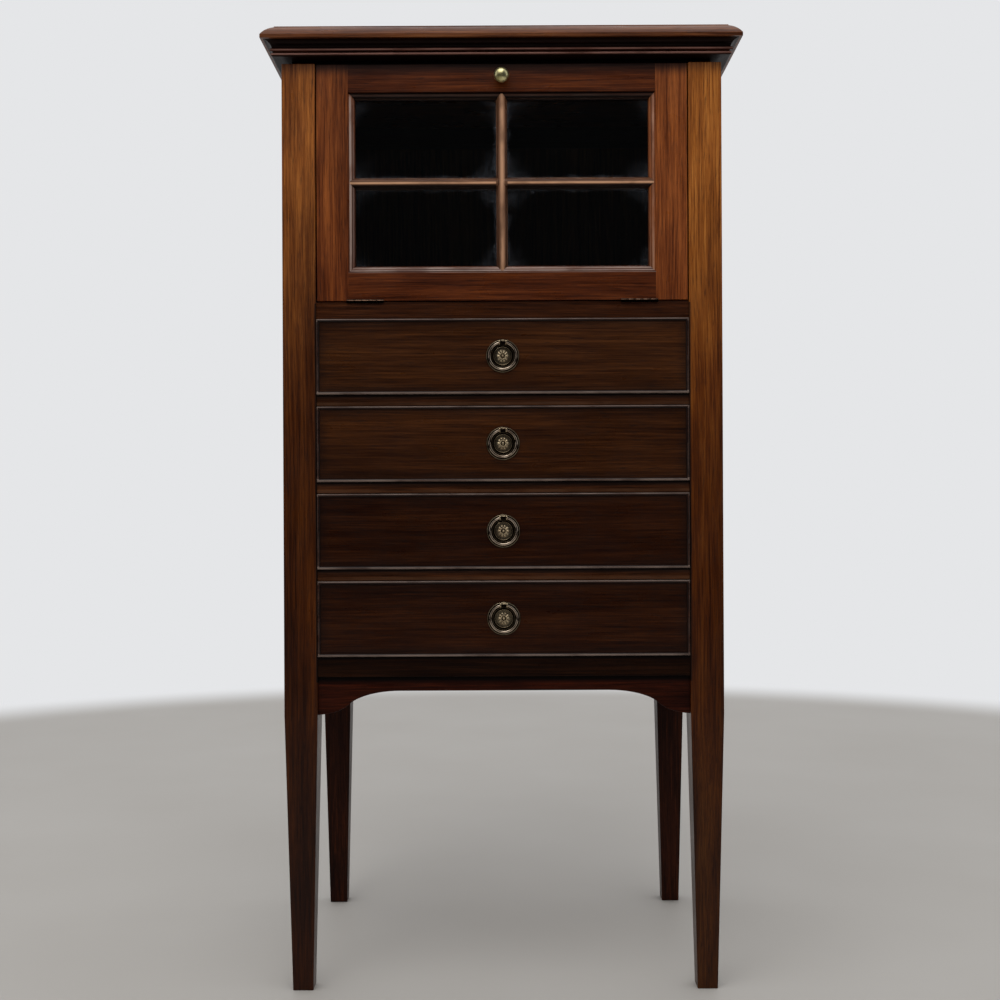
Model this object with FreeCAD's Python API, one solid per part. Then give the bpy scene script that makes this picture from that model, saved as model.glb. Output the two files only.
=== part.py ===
import FreeCAD, Part
import math
import os

V = FreeCAD.Vector

# A haberdashery cabinet on four tapered legs: a glazed fall-front cupboard over four cockbeaded
# drawers. Millimetres, +Z up, the front faces -Y, and the floor under the middle of the whole
# cabinet is the origin. Left is -X, as seen from the front.

# ---- The case: overall sizes ----------------------------------------------------------------
case_width = 475.0            # over the legs
case_depth = 348.0            # front of the front legs to back of the rear legs
leg_size = 36.0               # square of a leg beside the case
leg_foot_size = 22.0          # square of a leg at the floor
top_overhang = 20.0           # top board beyond the legs, at the front and the sides

# ---- The heights, from the floor up ---------------------------------------------------------
clear_under_brackets = 299.0  # floor to the apron's bracket feet, where the legs begin to taper
bracket_drop = 25.8           # apron's bracket feet below the middle of its arch
apron_web = 15.6              # apron at the middle of its arch
bottom_rail_height = 21.6
drawer_opening_height = 82.4
drawer_rail_thickness = 12.0
door_rail_thickness = 18.0    # the rail under the fall-front
cupboard_opening_height = 257.4
top_frame_height = 21.3
top_board_thickness = 16.7
drawer_count = 4

# ---- Joinery of the case --------------------------------------------------------------------
rail_setback = 1.5            # rails stand behind the leg fronts
apron_setback = 4.5           # apron behind the leg fronts
apron_thickness = 16.0
apron_tenon_thickness = 8.0
apron_tenon_up = 13.0         # apron's tenon above its bracket feet
tenon_length = 12.0
tenon_shoulder = 2.0          # shoulder left round each tenon
tenon_inset = 7.0             # tenon's front cheek behind its rail's front
tenon_width = 18.0
side_panel_thickness = 12.0
side_panel_setback = 3.0      # side panel behind the legs' outer faces
tongue_thickness = 6.0
tongue_depth = 8.0
back_panel_thickness = 6.0
back_rebate = 8.0
back_rail_thickness = 20.0
back_tenon_inset = 5.0        # tenon's front cheek behind the back rail's front
back_tenon_thickness = 5.0
top_frame_setback = 10.0      # top frame behind the leg fronts and sides
top_frame_width = 30.0
housing_depth = 4.0           # cupboard floor let into the side panels
cupboard_floor_thickness = 9.0
runner_width = 15.0           # runner inside the line of the legs
guide_height = 20.0
stop_length = 24.0
stop_depth = 8.0
stop_height = 6.0
stop_offset = 120.0           # drawer stops from the middle of the cabinet

# ---- Apron arch: a flat middle, a shoulder that turns down, and an ogee to the bracket foot --
arch_spring_in = 88.5         # where the arch leaves the flat, in from the leg
arch_knee_in = 33.5           # where the shoulder meets the ogee, in from the leg
arch_knee_drop = 14.4
arch_knee_slope = 45.0        # degrees below level
arch_foot_rise = 1.4          # last hold of the ogee above the bracket's foot

# ---- Cornice under the top board ------------------------------------------------------------
cornice_gap = 5.2             # recessed strip between the leg tops and the cornice
cornice_bead = 3.7            # bead along the lower edge
cornice_bead_out = 9.6        # bead's nose beyond the leg
cornice_quirk = 1.3
cornice_fillet = 2.8
cornice_fillet_out = 10.5
cornice_cove_in = 8.5         # foot of the cove beyond the leg
cornice_cove_out = 18.5       # top of the cove beyond the leg

# ---- Moulded edge of the top board ----------------------------------------------------------
top_edge_face = 4.0           # upright face at the bottom of the edge
top_edge_step = 1.2           # small step above the ovolo
top_edge_back = 13.2          # upper edge behind the upright face
top_edge_quirk = 0.8          # flat between the ovolo and the step
top_edge_round = 0.57         # middle of the flattened ovolo, as a share of its two radii

# ---- Fall-front door ------------------------------------------------------------------------
door_thickness = 19.0
door_side_gap = 1.5
door_joint_gap = 1.2          # between the door and the rail under it
door_swing_clearance = 0.6    # left over the door's upper inner edge as it swings past the frame
door_stile_width = 34.0
door_top_rail_width = 29.7
door_bottom_rail_width = 30.8
door_tenon_length = 24.0
door_tenon_thickness = 6.0
moulding_width = 7.2          # moulding stuck round the glass
moulding_step = 2.0           # face of the frame down to the moulding
moulding_edge = 0.8           # flats beside the ovolo
glass_depth = 9.6             # face of the door to the glass
glass_thickness = 2.0
glass_clearance = 0.3
bar_width = 12.0
bar_nose_width = 2.6
bar_tongue = 3.0              # part of the bar between the panes
glazing_bead_depth = 5.0
door_stop_width = 8.0
door_stop_depth = 12.0
door_stop_height = 40.0
door_stop_below_top = 15.0
closing_clearance = 0.3       # a closed door or drawer to what it shuts against
door_opening_angle = 82.0     # degrees the door falls before its stays stop it

# ---- Butt hinges of the door ----------------------------------------------------------------
hinge_offset = 148.0          # middle of a hinge from the middle of the cabinet
hinge_length = 40.0
hinge_leaf_width = 14.0
hinge_leaf_thickness = 1.2
hinge_knuckle_radius = 1.9
hinge_pin_radius = 0.8
hinge_pin_clearance = 0.06
hinge_knuckle_gap = 0.3
knuckle_clearance = 0.3       # round the knuckles, in the door and the rail
knuckle_count = 5

# ---- Quadrant stays of the door -------------------------------------------------------------
stay_radius = 160.0           # middle of the quadrant from the hinge pin
stay_offset = 11.5            # stay in from the leg
stay_thickness = 2.5
stay_width = 6.0
stay_head = 3.0               # length of the stop head on the tail
stay_head_proud = 2.0
stay_foot_width = 14.0
stay_foot_height = 30.0
stay_foot_thickness = 2.0
stay_guide_width = 17.0
stay_guide_depth = 5.7
stay_guide_height = 22.0
stay_clearance = 0.3          # round the quadrant, in the slot of its guide
stop_clearance = 0.3          # head to the guide, with the door fully open
floor_clearance = 1.5         # under the tail of a stay

# ---- Knob and turning tongue ----------------------------------------------------------------
knob_radius = 8.25
knob_projection = 16.2
knob_neck_out = 4.5           # narrowest part of the knob, in front of the door
knob_widest_out = 9.7
knob_collar_radius = 5.2
knob_collar_height = 1.2
knob_neck_radius = 3.1
spindle_radius = 2.5
spindle_clearance = 0.08
rivet_radius = 3.6
rivet_height = 1.2
tongue_clearance = 0.3        # tongue to the back of the door
tongue_plate_thickness = 2.0
tongue_plate_width = 7.0
tongue_boss_radius = 5.5
tongue_engagement = 6.0       # tongue's tip above the bottom of the top frame
tongue_slot_clearance = 0.6

# ---- Drawers --------------------------------------------------------------------------------
drawer_back_clearance = 22.0  # behind a closed drawer, in front of the back panel
drawer_gap = 0.4              # round the drawer front, and over the runners
drawer_front_thickness = 18.0
drawer_side_thickness = 9.0
drawer_side_drop = 3.6        # top of the sides below the top of the front
drawer_back_thickness = 9.0
drawer_bottom_thickness = 5.0
drawer_bottom_up = 8.0        # bottom board above the lower edge of the sides
drawer_groove = 4.0
cockbead_thickness = 3.2
cockbead_proud = 1.8
cockbead_seat = 8.2           # depth of the rebate that holds the bead
dovetail_count = 3
dovetail_slope = 7.0          # one in seven
dovetail_share = 0.72         # of the pitch that a tail takes at its tip
dovetail_lap = 0.8            # wood left between a tail and the bead

# ---- Ring pulls -----------------------------------------------------------------------------
plate_radius = 18.0
plate_thickness = 1.0
plate_rim_width = 1.6
plate_rim_height = 2.0
plate_ridge_radius = 9.5      # raised ring round the rosette
plate_ridge_width = 1.8
rosette_radius = 6.35
rosette_height = 3.4
rosette_bead_radius = 1.8
rosette_bead_height = 5.2
ring_radius = 14.5            # middle of the ring's wire
ring_wire_radius = 1.5
ring_wire_sides = 8           # flats that the ring's round wire is drawn with
ring_clearance = 0.4          # between the ring and its plate
eye_half_width = 2.6
eye_wall = 1.05
eye_clearance = 0.45          # between the ring and the eye it hangs in
pull_bolt_radius = 1.75
pull_nut_radius = 4.5
pull_nut_height = 2.5

# ---- Levels and planes worked out from the sizes above --------------------------------------
half_case = case_width / 2
half_opening = half_case - leg_size
front_y = (top_overhang - case_depth) / 2
back_y = front_y + case_depth
leg_back_y = front_y + leg_size
rear_leg_front_y = back_y - leg_size
rail_front_y = front_y + rail_setback

arch_z = clear_under_brackets + bracket_drop
bottom_rail_z = arch_z + apron_web
first_runner_z = bottom_rail_z + bottom_rail_height
drawer_pitch = drawer_opening_height + drawer_rail_thickness
drawer_levels = [first_runner_z + drawer_pitch * i for i in reversed(range(drawer_count))]
door_rail_z = first_runner_z + drawer_pitch * drawer_count - drawer_rail_thickness
door_rail_top = door_rail_z + door_rail_thickness
leg_top = door_rail_top + cupboard_opening_height
top_board_z = leg_top + top_frame_height

panel_outer_x = half_case - side_panel_setback
panel_inner_x = panel_outer_x - side_panel_thickness
back_panel_y = back_y - back_panel_thickness

door_back_y = front_y + door_thickness
door_half_width = half_opening - door_side_gap
hinge_z = door_rail_top + door_joint_gap / 2
door_z = door_rail_top + door_joint_gap
door_reach = math.sqrt((leg_top - hinge_z - door_swing_clearance) ** 2 - door_thickness ** 2)
door_top = hinge_z + door_reach
knob_z = door_top - door_top_rail_width / 2

# Angles about the hinge pin are counted back from upright. The inner corner of a stay's head is
# the first to reach the flat back of the guide, which it does at stop_angle. The tail is as much
# further round as the door opens, and the cupboard floor lies just under it.
guide_back = door_thickness + closing_clearance + stay_guide_depth
head_inner_radius = stay_radius - stay_width / 2 - stay_head_proud
head_outer_radius = stay_radius + stay_width / 2 + stay_head_proud
stop_angle = math.degrees(math.asin((guide_back + stop_clearance) / head_inner_radius))
tail_angle = stop_angle + door_opening_angle
head_angle = math.degrees(stay_head / stay_radius)
tail_drop = -head_outer_radius * math.cos(math.radians(tail_angle + head_angle))
cupboard_floor_top = min(hinge_z - tail_drop - floor_clearance, door_rail_top)

tongue_y = door_back_y + tongue_clearance
drawer_end_y = back_panel_y - drawer_back_clearance
ring_y = front_y - plate_thickness - ring_clearance - ring_wire_radius

# Where the middle of a quarter round lies, as a share of its two radii.
quarter_middle = math.sqrt(0.5)

# Curves on the small brass turnings are drawn in this many chords, which keeps their meshes light.
turning_chords = 3

# Boolean tools reach this far past the wood that they cut.
overshoot = 1.0


# ---- Helpers --------------------------------------------------------------------------------
def box(x0, x1, y0, y1, z0, z1):
    return Part.makeBox(x1 - x0, y1 - y0, z1 - z0, V(x0, y0, z0))


def mirrored(shape, x=0.0):
    """The same piece on the other side of the upright plane at x."""
    return shape.mirror(V(x, 0, 0), V(1, 0, 0))


def both_sides(shape):
    return [mirrored(shape), shape]


def fused(first, *others):
    return first.fuse(list(others)).removeSplitter()


def outline(start, steps, place):
    """A closed wire. A step is an end point, or a (middle, end) pair for an arc."""
    edges = []
    here = start
    for step in steps:
        if isinstance(step[0], tuple):
            middle, end = step
            edges.append(Part.Arc(place(*here), place(*middle), place(*end)).toShape())
        else:
            end = step
            edges.append(Part.makeLine(place(*here), place(*end)))
        here = end
    edges.append(Part.makeLine(place(*here), place(*start)))
    return Part.Wire(edges)


def extruded(wire, along):
    solid = Part.Face(wire).extrude(along)
    return solid if solid.Volume > 0 else solid.reversed()


def turned(start, steps, x, y, z):
    """A solid of revolution about a line along Y. A point is (radius, distance out in front of y)."""
    wire = outline(start, steps, lambda r, out: V(x + r, y - out, z))
    solid = Part.Face(wire).revolve(V(x, y, z), V(0, 1, 0), 360)
    return solid if solid.Volume > 0 else solid.reversed()


def bend(start, corner, end):
    """Chords of a curve that leaves start towards corner and comes to end from it."""
    points = []
    for i in range(1, turning_chords + 1):
        t = i / turning_chords
        weights = ((1 - t) ** 2, 2 * t * (1 - t), t ** 2)
        points.append(tuple(sum(w * p[k] for w, p in zip(weights, (start, corner, end))) for k in (0, 1)))
    return points


def dome(radius, base, top, end_radius=0.0):
    """Chords over a dome, from (radius, base) up its side to end_radius, on a sphere about the
    axis with its crown at top."""
    centre = (top ** 2 - base ** 2 - radius ** 2) / (2 * (top - base))
    sphere = top - centre
    first = math.atan2(base - centre, radius)
    step = (math.acos(end_radius / sphere) - first) / turning_chords
    turns = [first + step * i for i in range(1, turning_chords)]
    points = [(sphere * math.cos(turn), centre + sphere * math.sin(turn)) for turn in turns]
    return points + [(end_radius, centre + math.sqrt(sphere ** 2 - end_radius ** 2))]


def ridge(radius, width, base, top):
    """A low ridge round the axis: its outer foot, its crest and its inner foot."""
    return [(radius + width / 2, base), (radius, top), (radius - width / 2, base)]


def mitred_frame(centre_x, centre_z, half_width, half_height, face_y, reach, start, steps):
    """Four strips round a rectangle, mitred at the corners: bottom, top, left, right.

    The section is drawn as (distance in from the rectangle's edge, depth behind face_y), and
    reach is its width."""
    low = centre_z - half_height
    left = centre_x - half_width
    lying = outline(start, steps, lambda u, v: V(left, face_y + v, low + u))
    standing = outline(start, steps, lambda u, v: V(left + u, face_y + v, low))
    near = face_y - door_thickness
    through = V(0, 3 * door_thickness, 0)
    right = centre_x + half_width
    high = centre_z + half_height
    mitre = (left + reach, low + reach)
    right_mitre = (right - reach, low + reach)
    upper_mitre = (left + reach, high - reach)

    def flat(x, z):
        return V(x, near, z)

    low_wedge = outline((left, low), [(right, low), right_mitre, mitre], flat)
    left_wedge = outline((left, low), [mitre, upper_mitre, (left, high)], flat)
    bottom = extruded(lying, V(2 * half_width, 0, 0)).common(extruded(low_wedge, through)).Solids[0]
    side = extruded(standing, V(0, 0, 2 * half_height)).common(extruded(left_wedge, through)).Solids[0]
    top = bottom.mirror(V(0, 0, centre_z), V(0, 0, 1))
    return bottom, top, side, mirrored(side, centre_x)


def save(node, *solids):
    shape = solids[0] if len(solids) == 1 else Part.makeCompound(list(solids))
    shape.exportStep("parts/" + node + ".step")


# ---- The case -------------------------------------------------------------------------------
def rail_tenon(z0, z1, rail_front):
    """The right-hand tenon of a rail whose front face is at rail_front."""
    y0 = rail_front + tenon_inset
    z_low = z0 + tenon_shoulder
    return box(half_opening, half_opening + tenon_length, y0, y0 + tenon_width, z_low, z1 - tenon_shoulder)


def tenoned_rail(z0, z1, rail_front, rail_back):
    tenon = rail_tenon(z0, z1, rail_front)
    return fused(box(-half_opening, half_opening, rail_front, rail_back, z0, z1), *both_sides(tenon))


def hinge_seat():
    """What the right-hand hinge takes out of the wood: both leaves and the room for its knuckles."""
    x0 = hinge_offset - hinge_length / 2
    x1 = hinge_offset + hinge_length / 2
    radius = hinge_knuckle_radius + knuckle_clearance
    knuckle = Part.makeCylinder(radius, hinge_length, V(x0, front_y, hinge_z), V(1, 0, 0))
    lower = box(x0, x1, front_y, front_y + hinge_leaf_width, door_rail_top - hinge_leaf_thickness, hinge_z)
    upper = box(x0, x1, front_y, front_y + hinge_leaf_width, hinge_z, door_z + hinge_leaf_thickness)
    return knuckle.fuse([lower, upper])


def make_rails():
    """The rail under the door, the rails between the drawers, the bottom rail and the apron."""
    door_rail = tenoned_rail(door_rail_z, door_rail_top, rail_front_y, leg_back_y)
    for seat in both_sides(hinge_seat()):
        door_rail = door_rail.cut(seat)
    drawer_rails = [
        tenoned_rail(z - drawer_rail_thickness, z, rail_front_y, leg_back_y)
        for z in drawer_levels[:-1]
    ]
    bottom_rail = tenoned_rail(bottom_rail_z, first_runner_z, rail_front_y, leg_back_y)
    return door_rail, drawer_rails, bottom_rail


def make_apron():
    """A thin board under the bottom rail, sawn to a flat arch between two bracket feet."""
    spring = half_opening - arch_spring_in
    knee = half_opening - arch_knee_in
    slope = math.radians(arch_knee_slope)
    apron_front = front_y + apron_setback

    def at(x, drop):
        return V(x, apron_front, arch_z - drop)

    def curve(side, *poles):
        bezier = Part.BezierCurve()
        bezier.setPoles([at(side * x, drop) for x, drop in poles])
        return bezier.toShape()

    # Each curve is held half-way down its own drop, along the slope of the knee.
    shoulder_hold = arch_knee_drop / math.sin(slope) / 2
    shoulder = [
        (spring, 0.0),
        ((spring + knee) / 2, 0.0),
        (knee - shoulder_hold * math.cos(slope), arch_knee_drop - shoulder_hold * math.sin(slope)),
        (knee, arch_knee_drop),
    ]
    ogee_hold = (bracket_drop - arch_knee_drop) / math.sin(slope) / 2
    ogee = [
        (knee, arch_knee_drop),
        (knee + ogee_hold * math.cos(slope), arch_knee_drop + ogee_hold * math.sin(slope)),
        ((knee + half_opening) / 2, bracket_drop - arch_foot_rise),
        (half_opening, bracket_drop),
    ]
    top_left = at(-half_opening, -apron_web)
    top_right = at(half_opening, -apron_web)
    edges = [
        Part.makeLine(at(-spring, 0), at(spring, 0)),
        curve(1, *shoulder),
        curve(1, *ogee),
        Part.makeLine(at(half_opening, bracket_drop), top_right),
        Part.makeLine(top_right, top_left),
        Part.makeLine(top_left, at(-half_opening, bracket_drop)),
        curve(-1, *reversed(ogee)),
        curve(-1, *reversed(shoulder)),
    ]
    board = extruded(Part.Wire(edges), V(0, apron_thickness, 0))
    tenon_y = apron_front + (apron_thickness - apron_tenon_thickness) / 2
    tenon = box(
        half_opening, half_opening + tongue_depth, tenon_y, tenon_y + apron_tenon_thickness,
        clear_under_brackets + apron_tenon_up, bottom_rail_z - tenon_shoulder,
    )
    return fused(board, *both_sides(tenon))


def make_side_panel():
    """The right-hand side: one wide board between the legs, tongued into both of them."""
    board = box(panel_inner_x, panel_outer_x, leg_back_y, rear_leg_front_y, arch_z, leg_top)
    middle = (panel_inner_x + panel_outer_x) / 2
    half_tongue = tongue_thickness / 2
    y0 = leg_back_y - tongue_depth
    y1 = rear_leg_front_y + tongue_depth
    tongues = box(middle - half_tongue, middle + half_tongue, y0, y1, arch_z, leg_top)
    return fused(board, tongues)


def make_back():
    """A thin panel in rebates of the rear legs, over a stout lower rail that joins them."""
    half = half_opening + back_rebate
    panel = box(-half, half, back_panel_y, back_y, first_runner_z - back_rebate, leg_top)
    rail_front = back_y - back_rail_thickness
    rail = box(-half_opening, half_opening, rail_front, back_y, arch_z, first_runner_z)
    cheek = rail_front + back_tenon_inset
    tenon = box(
        half_opening, half_opening + tenon_length, cheek, cheek + back_tenon_thickness,
        arch_z + tenon_shoulder, first_runner_z - back_rebate - tenon_shoulder,
    )
    return fused(rail, *both_sides(tenon)).cut(panel), panel


def make_leg(outer_x, y0, joints):
    """A right-hand leg: square beside the case, tapered on all four faces below it."""
    inner_x = outer_x - leg_size
    post = box(inner_x, outer_x, y0, y0 + leg_size, clear_under_brackets, leg_top)
    centre = V((inner_x + outer_x) / 2, y0 + leg_size / 2, 0)

    def square(size, z):
        half = size / 2
        corners = [(-half, -half), (half, -half), (half, half), (-half, half), (-half, -half)]
        return Part.makePolygon([centre + V(x, y, z) for x, y in corners])

    taper = Part.makeLoft([square(leg_foot_size, 0), square(leg_size, clear_under_brackets)], True, True)
    leg = fused(post, taper)
    for joint in joints:
        leg = leg.cut(joint)
    return leg


def make_top_frame():
    """Four flat rails on top of the legs, with a slot under the front one for the door's tongue."""
    outer = half_case - top_frame_setback
    y0 = front_y + top_frame_setback
    front = box(-outer, outer, y0, y0 + top_frame_width, leg_top, top_board_z)
    back = box(-outer, outer, back_y - top_frame_width, back_y, leg_top, top_board_z)
    side = box(
        outer - top_frame_width, outer, y0 + top_frame_width, back_y - top_frame_width,
        leg_top, top_board_z,
    )
    tip = tongue_tip_radius()
    sweep = math.sqrt(tip ** 2 - (leg_top - knob_z) ** 2) + tongue_plate_width / 2
    slot = box(
        -tongue_plate_width / 2 - tongue_slot_clearance, sweep + tongue_slot_clearance,
        tongue_y - tongue_slot_clearance, tongue_y + tongue_plate_thickness + tongue_slot_clearance,
        leg_top - overshoot, knob_z + tip + tongue_slot_clearance,
    )
    return [front.cut(slot), back] + both_sides(side)


def make_moulded_slab(profile, z0, z1):
    """A slab from z0 to z1 whose front and side edges follow profile: a list of steps from the
    lower outer corner upwards, each an (out, z) point or a (middle, end) pair."""
    start, *steps = profile
    half_length = half_case + 2 * top_overhang
    near = front_y - 2 * top_overhang
    to_back = [(-case_depth, z1), (-case_depth, z0)]
    to_middle = [(-half_case, z1), (-half_case, z0)]
    front_run = outline(start, steps + to_back, lambda out, z: V(-half_length, front_y - out, z))
    side_run = outline(start, steps + to_middle, lambda out, z: V(half_case + out, near, z))
    half_slab = extruded(side_run, V(0, back_y - near, 0))
    width = fused(half_slab, mirrored(half_slab))
    return extruded(front_run, V(2 * half_length, 0, 0)).common(width).Solids[0]


def make_cornice():
    """The cornice: a bead, a quirk, a fillet and a cove, in a front length and two side lengths."""
    z0 = leg_top + cornice_gap
    bead = cornice_bead / 2
    bead_x = cornice_bead_out - bead
    quirk_z = z0 + cornice_bead + cornice_quirk
    fillet_z = quirk_z + cornice_fillet
    cove_rise = top_board_z - fillet_z
    cove_run = cornice_cove_out - cornice_cove_in
    cove_middle = (cornice_cove_out - cove_run * quarter_middle, fillet_z + cove_rise * quarter_middle)
    profile = [
        (bead_x, z0),
        ((cornice_bead_out, z0 + bead), (bead_x, z0 + cornice_bead)),
        (bead_x, quirk_z),
        (cornice_fillet_out, quirk_z),
        (cornice_fillet_out, fillet_z),
        (cornice_cove_in, fillet_z),
        (cove_middle, (cornice_cove_out, top_board_z)),
    ]
    slab = make_moulded_slab(profile, z0, top_board_z)
    inner = half_case - top_frame_setback
    core = box(
        -inner, inner, front_y + top_frame_setback, back_y + overshoot,
        z0 - overshoot, top_board_z + overshoot,
    )
    ring = slab.cut(core)

    def flat(x, y):
        return V(x, y, z0 - overshoot)

    # The front length runs to its mitres, which lie in a wedge that narrows inwards at 45 degrees.
    corner = half_case + 2 * top_overhang
    near = front_y - 2 * top_overhang
    mitre_x = half_case - top_frame_setback
    mitre_y = front_y + top_frame_setback
    wedge = outline((-corner, near), [(corner, near), (mitre_x, mitre_y), (-mitre_x, mitre_y)], flat)
    front_zone = extruded(wedge, V(0, 0, top_frame_height + 2 * overshoot))
    front = ring.common(front_zone).Solids[0]
    sides = sorted(ring.cut(front_zone).Solids, key=lambda solid: solid.CenterOfMass.x)
    return [front] + sides


def make_top_board():
    """The top: an upright edge, a flat ovolo and a small step, worked on the front and the ends."""
    top = top_board_z + top_board_thickness
    face_z = top_board_z + top_edge_face
    step_z = top - top_edge_step
    step_out = top_overhang - top_edge_back
    ovolo_in = step_out + top_edge_quirk
    ovolo_middle = (
        ovolo_in + (top_overhang - ovolo_in) * top_edge_round,
        face_z + (step_z - face_z) * top_edge_round,
    )
    profile = [
        (top_overhang, top_board_z),
        (top_overhang, face_z),
        (ovolo_middle, (ovolo_in, step_z)),
        (step_out, step_z),
        (step_out, top),
    ]
    return make_moulded_slab(profile, top_board_z, top)


def make_runners():
    """For each drawer a runner and a guide on both sides, glued to the side panels."""
    pieces = []
    inner = half_opening - runner_width
    for z in drawer_levels:
        low = z - drawer_rail_thickness
        outer_part = box(half_opening, panel_inner_x, leg_back_y, rear_leg_front_y, low, z)
        inner_part = box(inner, half_opening, leg_back_y, back_panel_y, low, z)
        runner = fused(inner_part, outer_part)
        if z == drawer_levels[-1]:
            runner = runner.cut(back_rail)
        guide = box(half_opening, panel_inner_x, leg_back_y, rear_leg_front_y, z, z + guide_height)
        pieces += both_sides(runner) + both_sides(guide)
    return pieces


def make_drawer_stops():
    x0 = stop_offset - stop_length / 2
    y0 = front_y + drawer_front_thickness + closing_clearance
    blocks = []
    for z in drawer_levels:
        blocks += both_sides(box(x0, x0 + stop_length, y0, y0 + stop_depth, z, z + stop_height))
    return blocks


def make_cupboard_floor():
    """The floor of the cupboard, housed in the side panels and notched round the rear legs."""
    z0 = cupboard_floor_top - cupboard_floor_thickness
    floor = box(-half_opening, half_opening, leg_back_y, back_panel_y, z0, cupboard_floor_top)
    wing = box(
        half_opening, panel_inner_x + housing_depth, leg_back_y, rear_leg_front_y,
        z0, cupboard_floor_top,
    )
    return fused(floor, *both_sides(wing))


# ---- The fall-front door --------------------------------------------------------------------
def moulding_section():
    """The moulding round the glass, from the face of the frame in to the glass line."""
    ovolo_foot = moulding_width - moulding_edge
    ovolo_low = glass_depth - moulding_step - moulding_edge
    middle = (
        moulding_edge + (ovolo_foot - moulding_edge) * quarter_middle,
        ovolo_low - (ovolo_low - moulding_step) * quarter_middle,
    )
    return [
        (0.0, moulding_step),
        (moulding_edge, moulding_step),
        (middle, (ovolo_foot, ovolo_low)),
        (moulding_width, ovolo_low + moulding_edge),
        (moulding_width, glass_depth),
        (0.0, glass_depth),
    ]


def bar_section():
    """Half of a glazing bar, from the middle of its nose back to the tongue between the panes."""
    half = bar_width / 2
    nose = bar_nose_width / 2
    ovolo_low = glass_depth - moulding_step - moulding_edge
    foot = half - moulding_edge
    middle = (
        nose + (foot - nose) * quarter_middle,
        ovolo_low - (ovolo_low - moulding_step) * quarter_middle,
    )
    tongue = bar_tongue / 2
    bead_back = glass_depth + glass_thickness + glazing_bead_depth
    return [
        (0.0, moulding_step),
        (nose, moulding_step),
        (middle, (foot, ovolo_low)),
        (half, ovolo_low + moulding_edge),
        (half, glass_depth),
        (tongue, glass_depth),
        (tongue, bead_back),
        (0.0, bead_back),
    ]


def make_door_frame():
    """Two stiles, two rails tenoned between them, and the moulding worked on their inner edges."""
    half = door_half_width
    inner_x = half - door_stile_width
    low = door_z + door_bottom_rail_width
    high = door_top - door_top_rail_width
    centre_z = (low + high) / 2
    opening = (0.0, centre_z, inner_x, (high - low) / 2)
    section = moulding_section()
    low_trim, high_trim, left_trim, right_trim = mitred_frame(
        *opening, front_y, moulding_width, section[0], section[1:],
    )

    def rail(z0, z1, trim):
        board = box(-inner_x, inner_x, front_y, door_back_y, z0, z1)
        cheek = front_y + (door_thickness - door_tenon_thickness) / 2
        tenon = box(
            inner_x, inner_x + door_tenon_length, cheek, cheek + door_tenon_thickness,
            z0 + tenon_shoulder, z1 - tenon_shoulder,
        )
        return fused(board, *both_sides(tenon), trim)

    bottom_rail = rail(door_z, low, low_trim)
    top_rail = rail(high, door_top, high_trim)
    bore_start = V(0, front_y - overshoot, knob_z)
    bore_length = door_thickness + 2 * overshoot
    bore = Part.makeCylinder(spindle_radius + spindle_clearance, bore_length, bore_start, V(0, 1, 0))
    top_rail = top_rail.cut(bore)
    stile = fused(box(inner_x, half, front_y, door_back_y, door_z, door_top), right_trim)
    stile = stile.cut(bottom_rail).cut(top_rail).cut(stay_foot())
    for seat in both_sides(hinge_seat()):
        bottom_rail = bottom_rail.cut(seat)
    stile = stile.cut(hinge_seat())
    return stile, bottom_rail, top_rail, opening


def make_glazing(frame, opening):
    """Glazing bars with the frame's section, four panes, and the beads that hold them in."""
    centre_x, centre_z, half_width, half_height = opening
    section = bar_section()
    upright_half = extruded(
        outline(section[0], section[1:], lambda u, v: V(u, front_y + v, centre_z - half_height)),
        V(0, 0, 2 * half_height),
    )
    upright = fused(upright_half, mirrored(upright_half))
    level_half = extruded(
        outline(section[0], section[1:], lambda u, v: V(-half_width, front_y + v, centre_z + u)),
        V(2 * half_width, 0, 0),
    )
    level = fused(level_half, level_half.mirror(V(0, 0, centre_z), V(0, 0, 1)))
    for member in frame:
        upright = upright.cut(member)
        level = level.cut(member)
    # The upright runs through, so the level bar is two arms.
    arms = sorted(level.cut(upright).Solids, key=lambda solid: -solid.Volume)[:2]
    bars = [upright] + arms

    tongue = bar_tongue / 2
    pane_half_width = (half_width - tongue) / 2
    pane_half_height = (half_height - tongue) / 2
    glass_y = front_y + glass_depth
    bead_width = (bar_width - bar_tongue) / 2
    bead = [(0.0, glazing_bead_depth), (bead_width, glazing_bead_depth), (bead_width, 0.0)]
    panes = []
    beads = []
    for side in (-1, 1):
        for level_side in (1, -1):
            x = side * (tongue + pane_half_width)
            z = centre_z + level_side * (tongue + pane_half_height)
            w = pane_half_width - glass_clearance
            h = pane_half_height - glass_clearance
            panes.append(box(x - w, x + w, glass_y, glass_y + glass_thickness, z - h, z + h))
            beads += mitred_frame(
                x, z, pane_half_width, pane_half_height, glass_y + glass_thickness,
                bead_width, (0.0, 0.0), bead,
            )
    return bars, panes, beads


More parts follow.
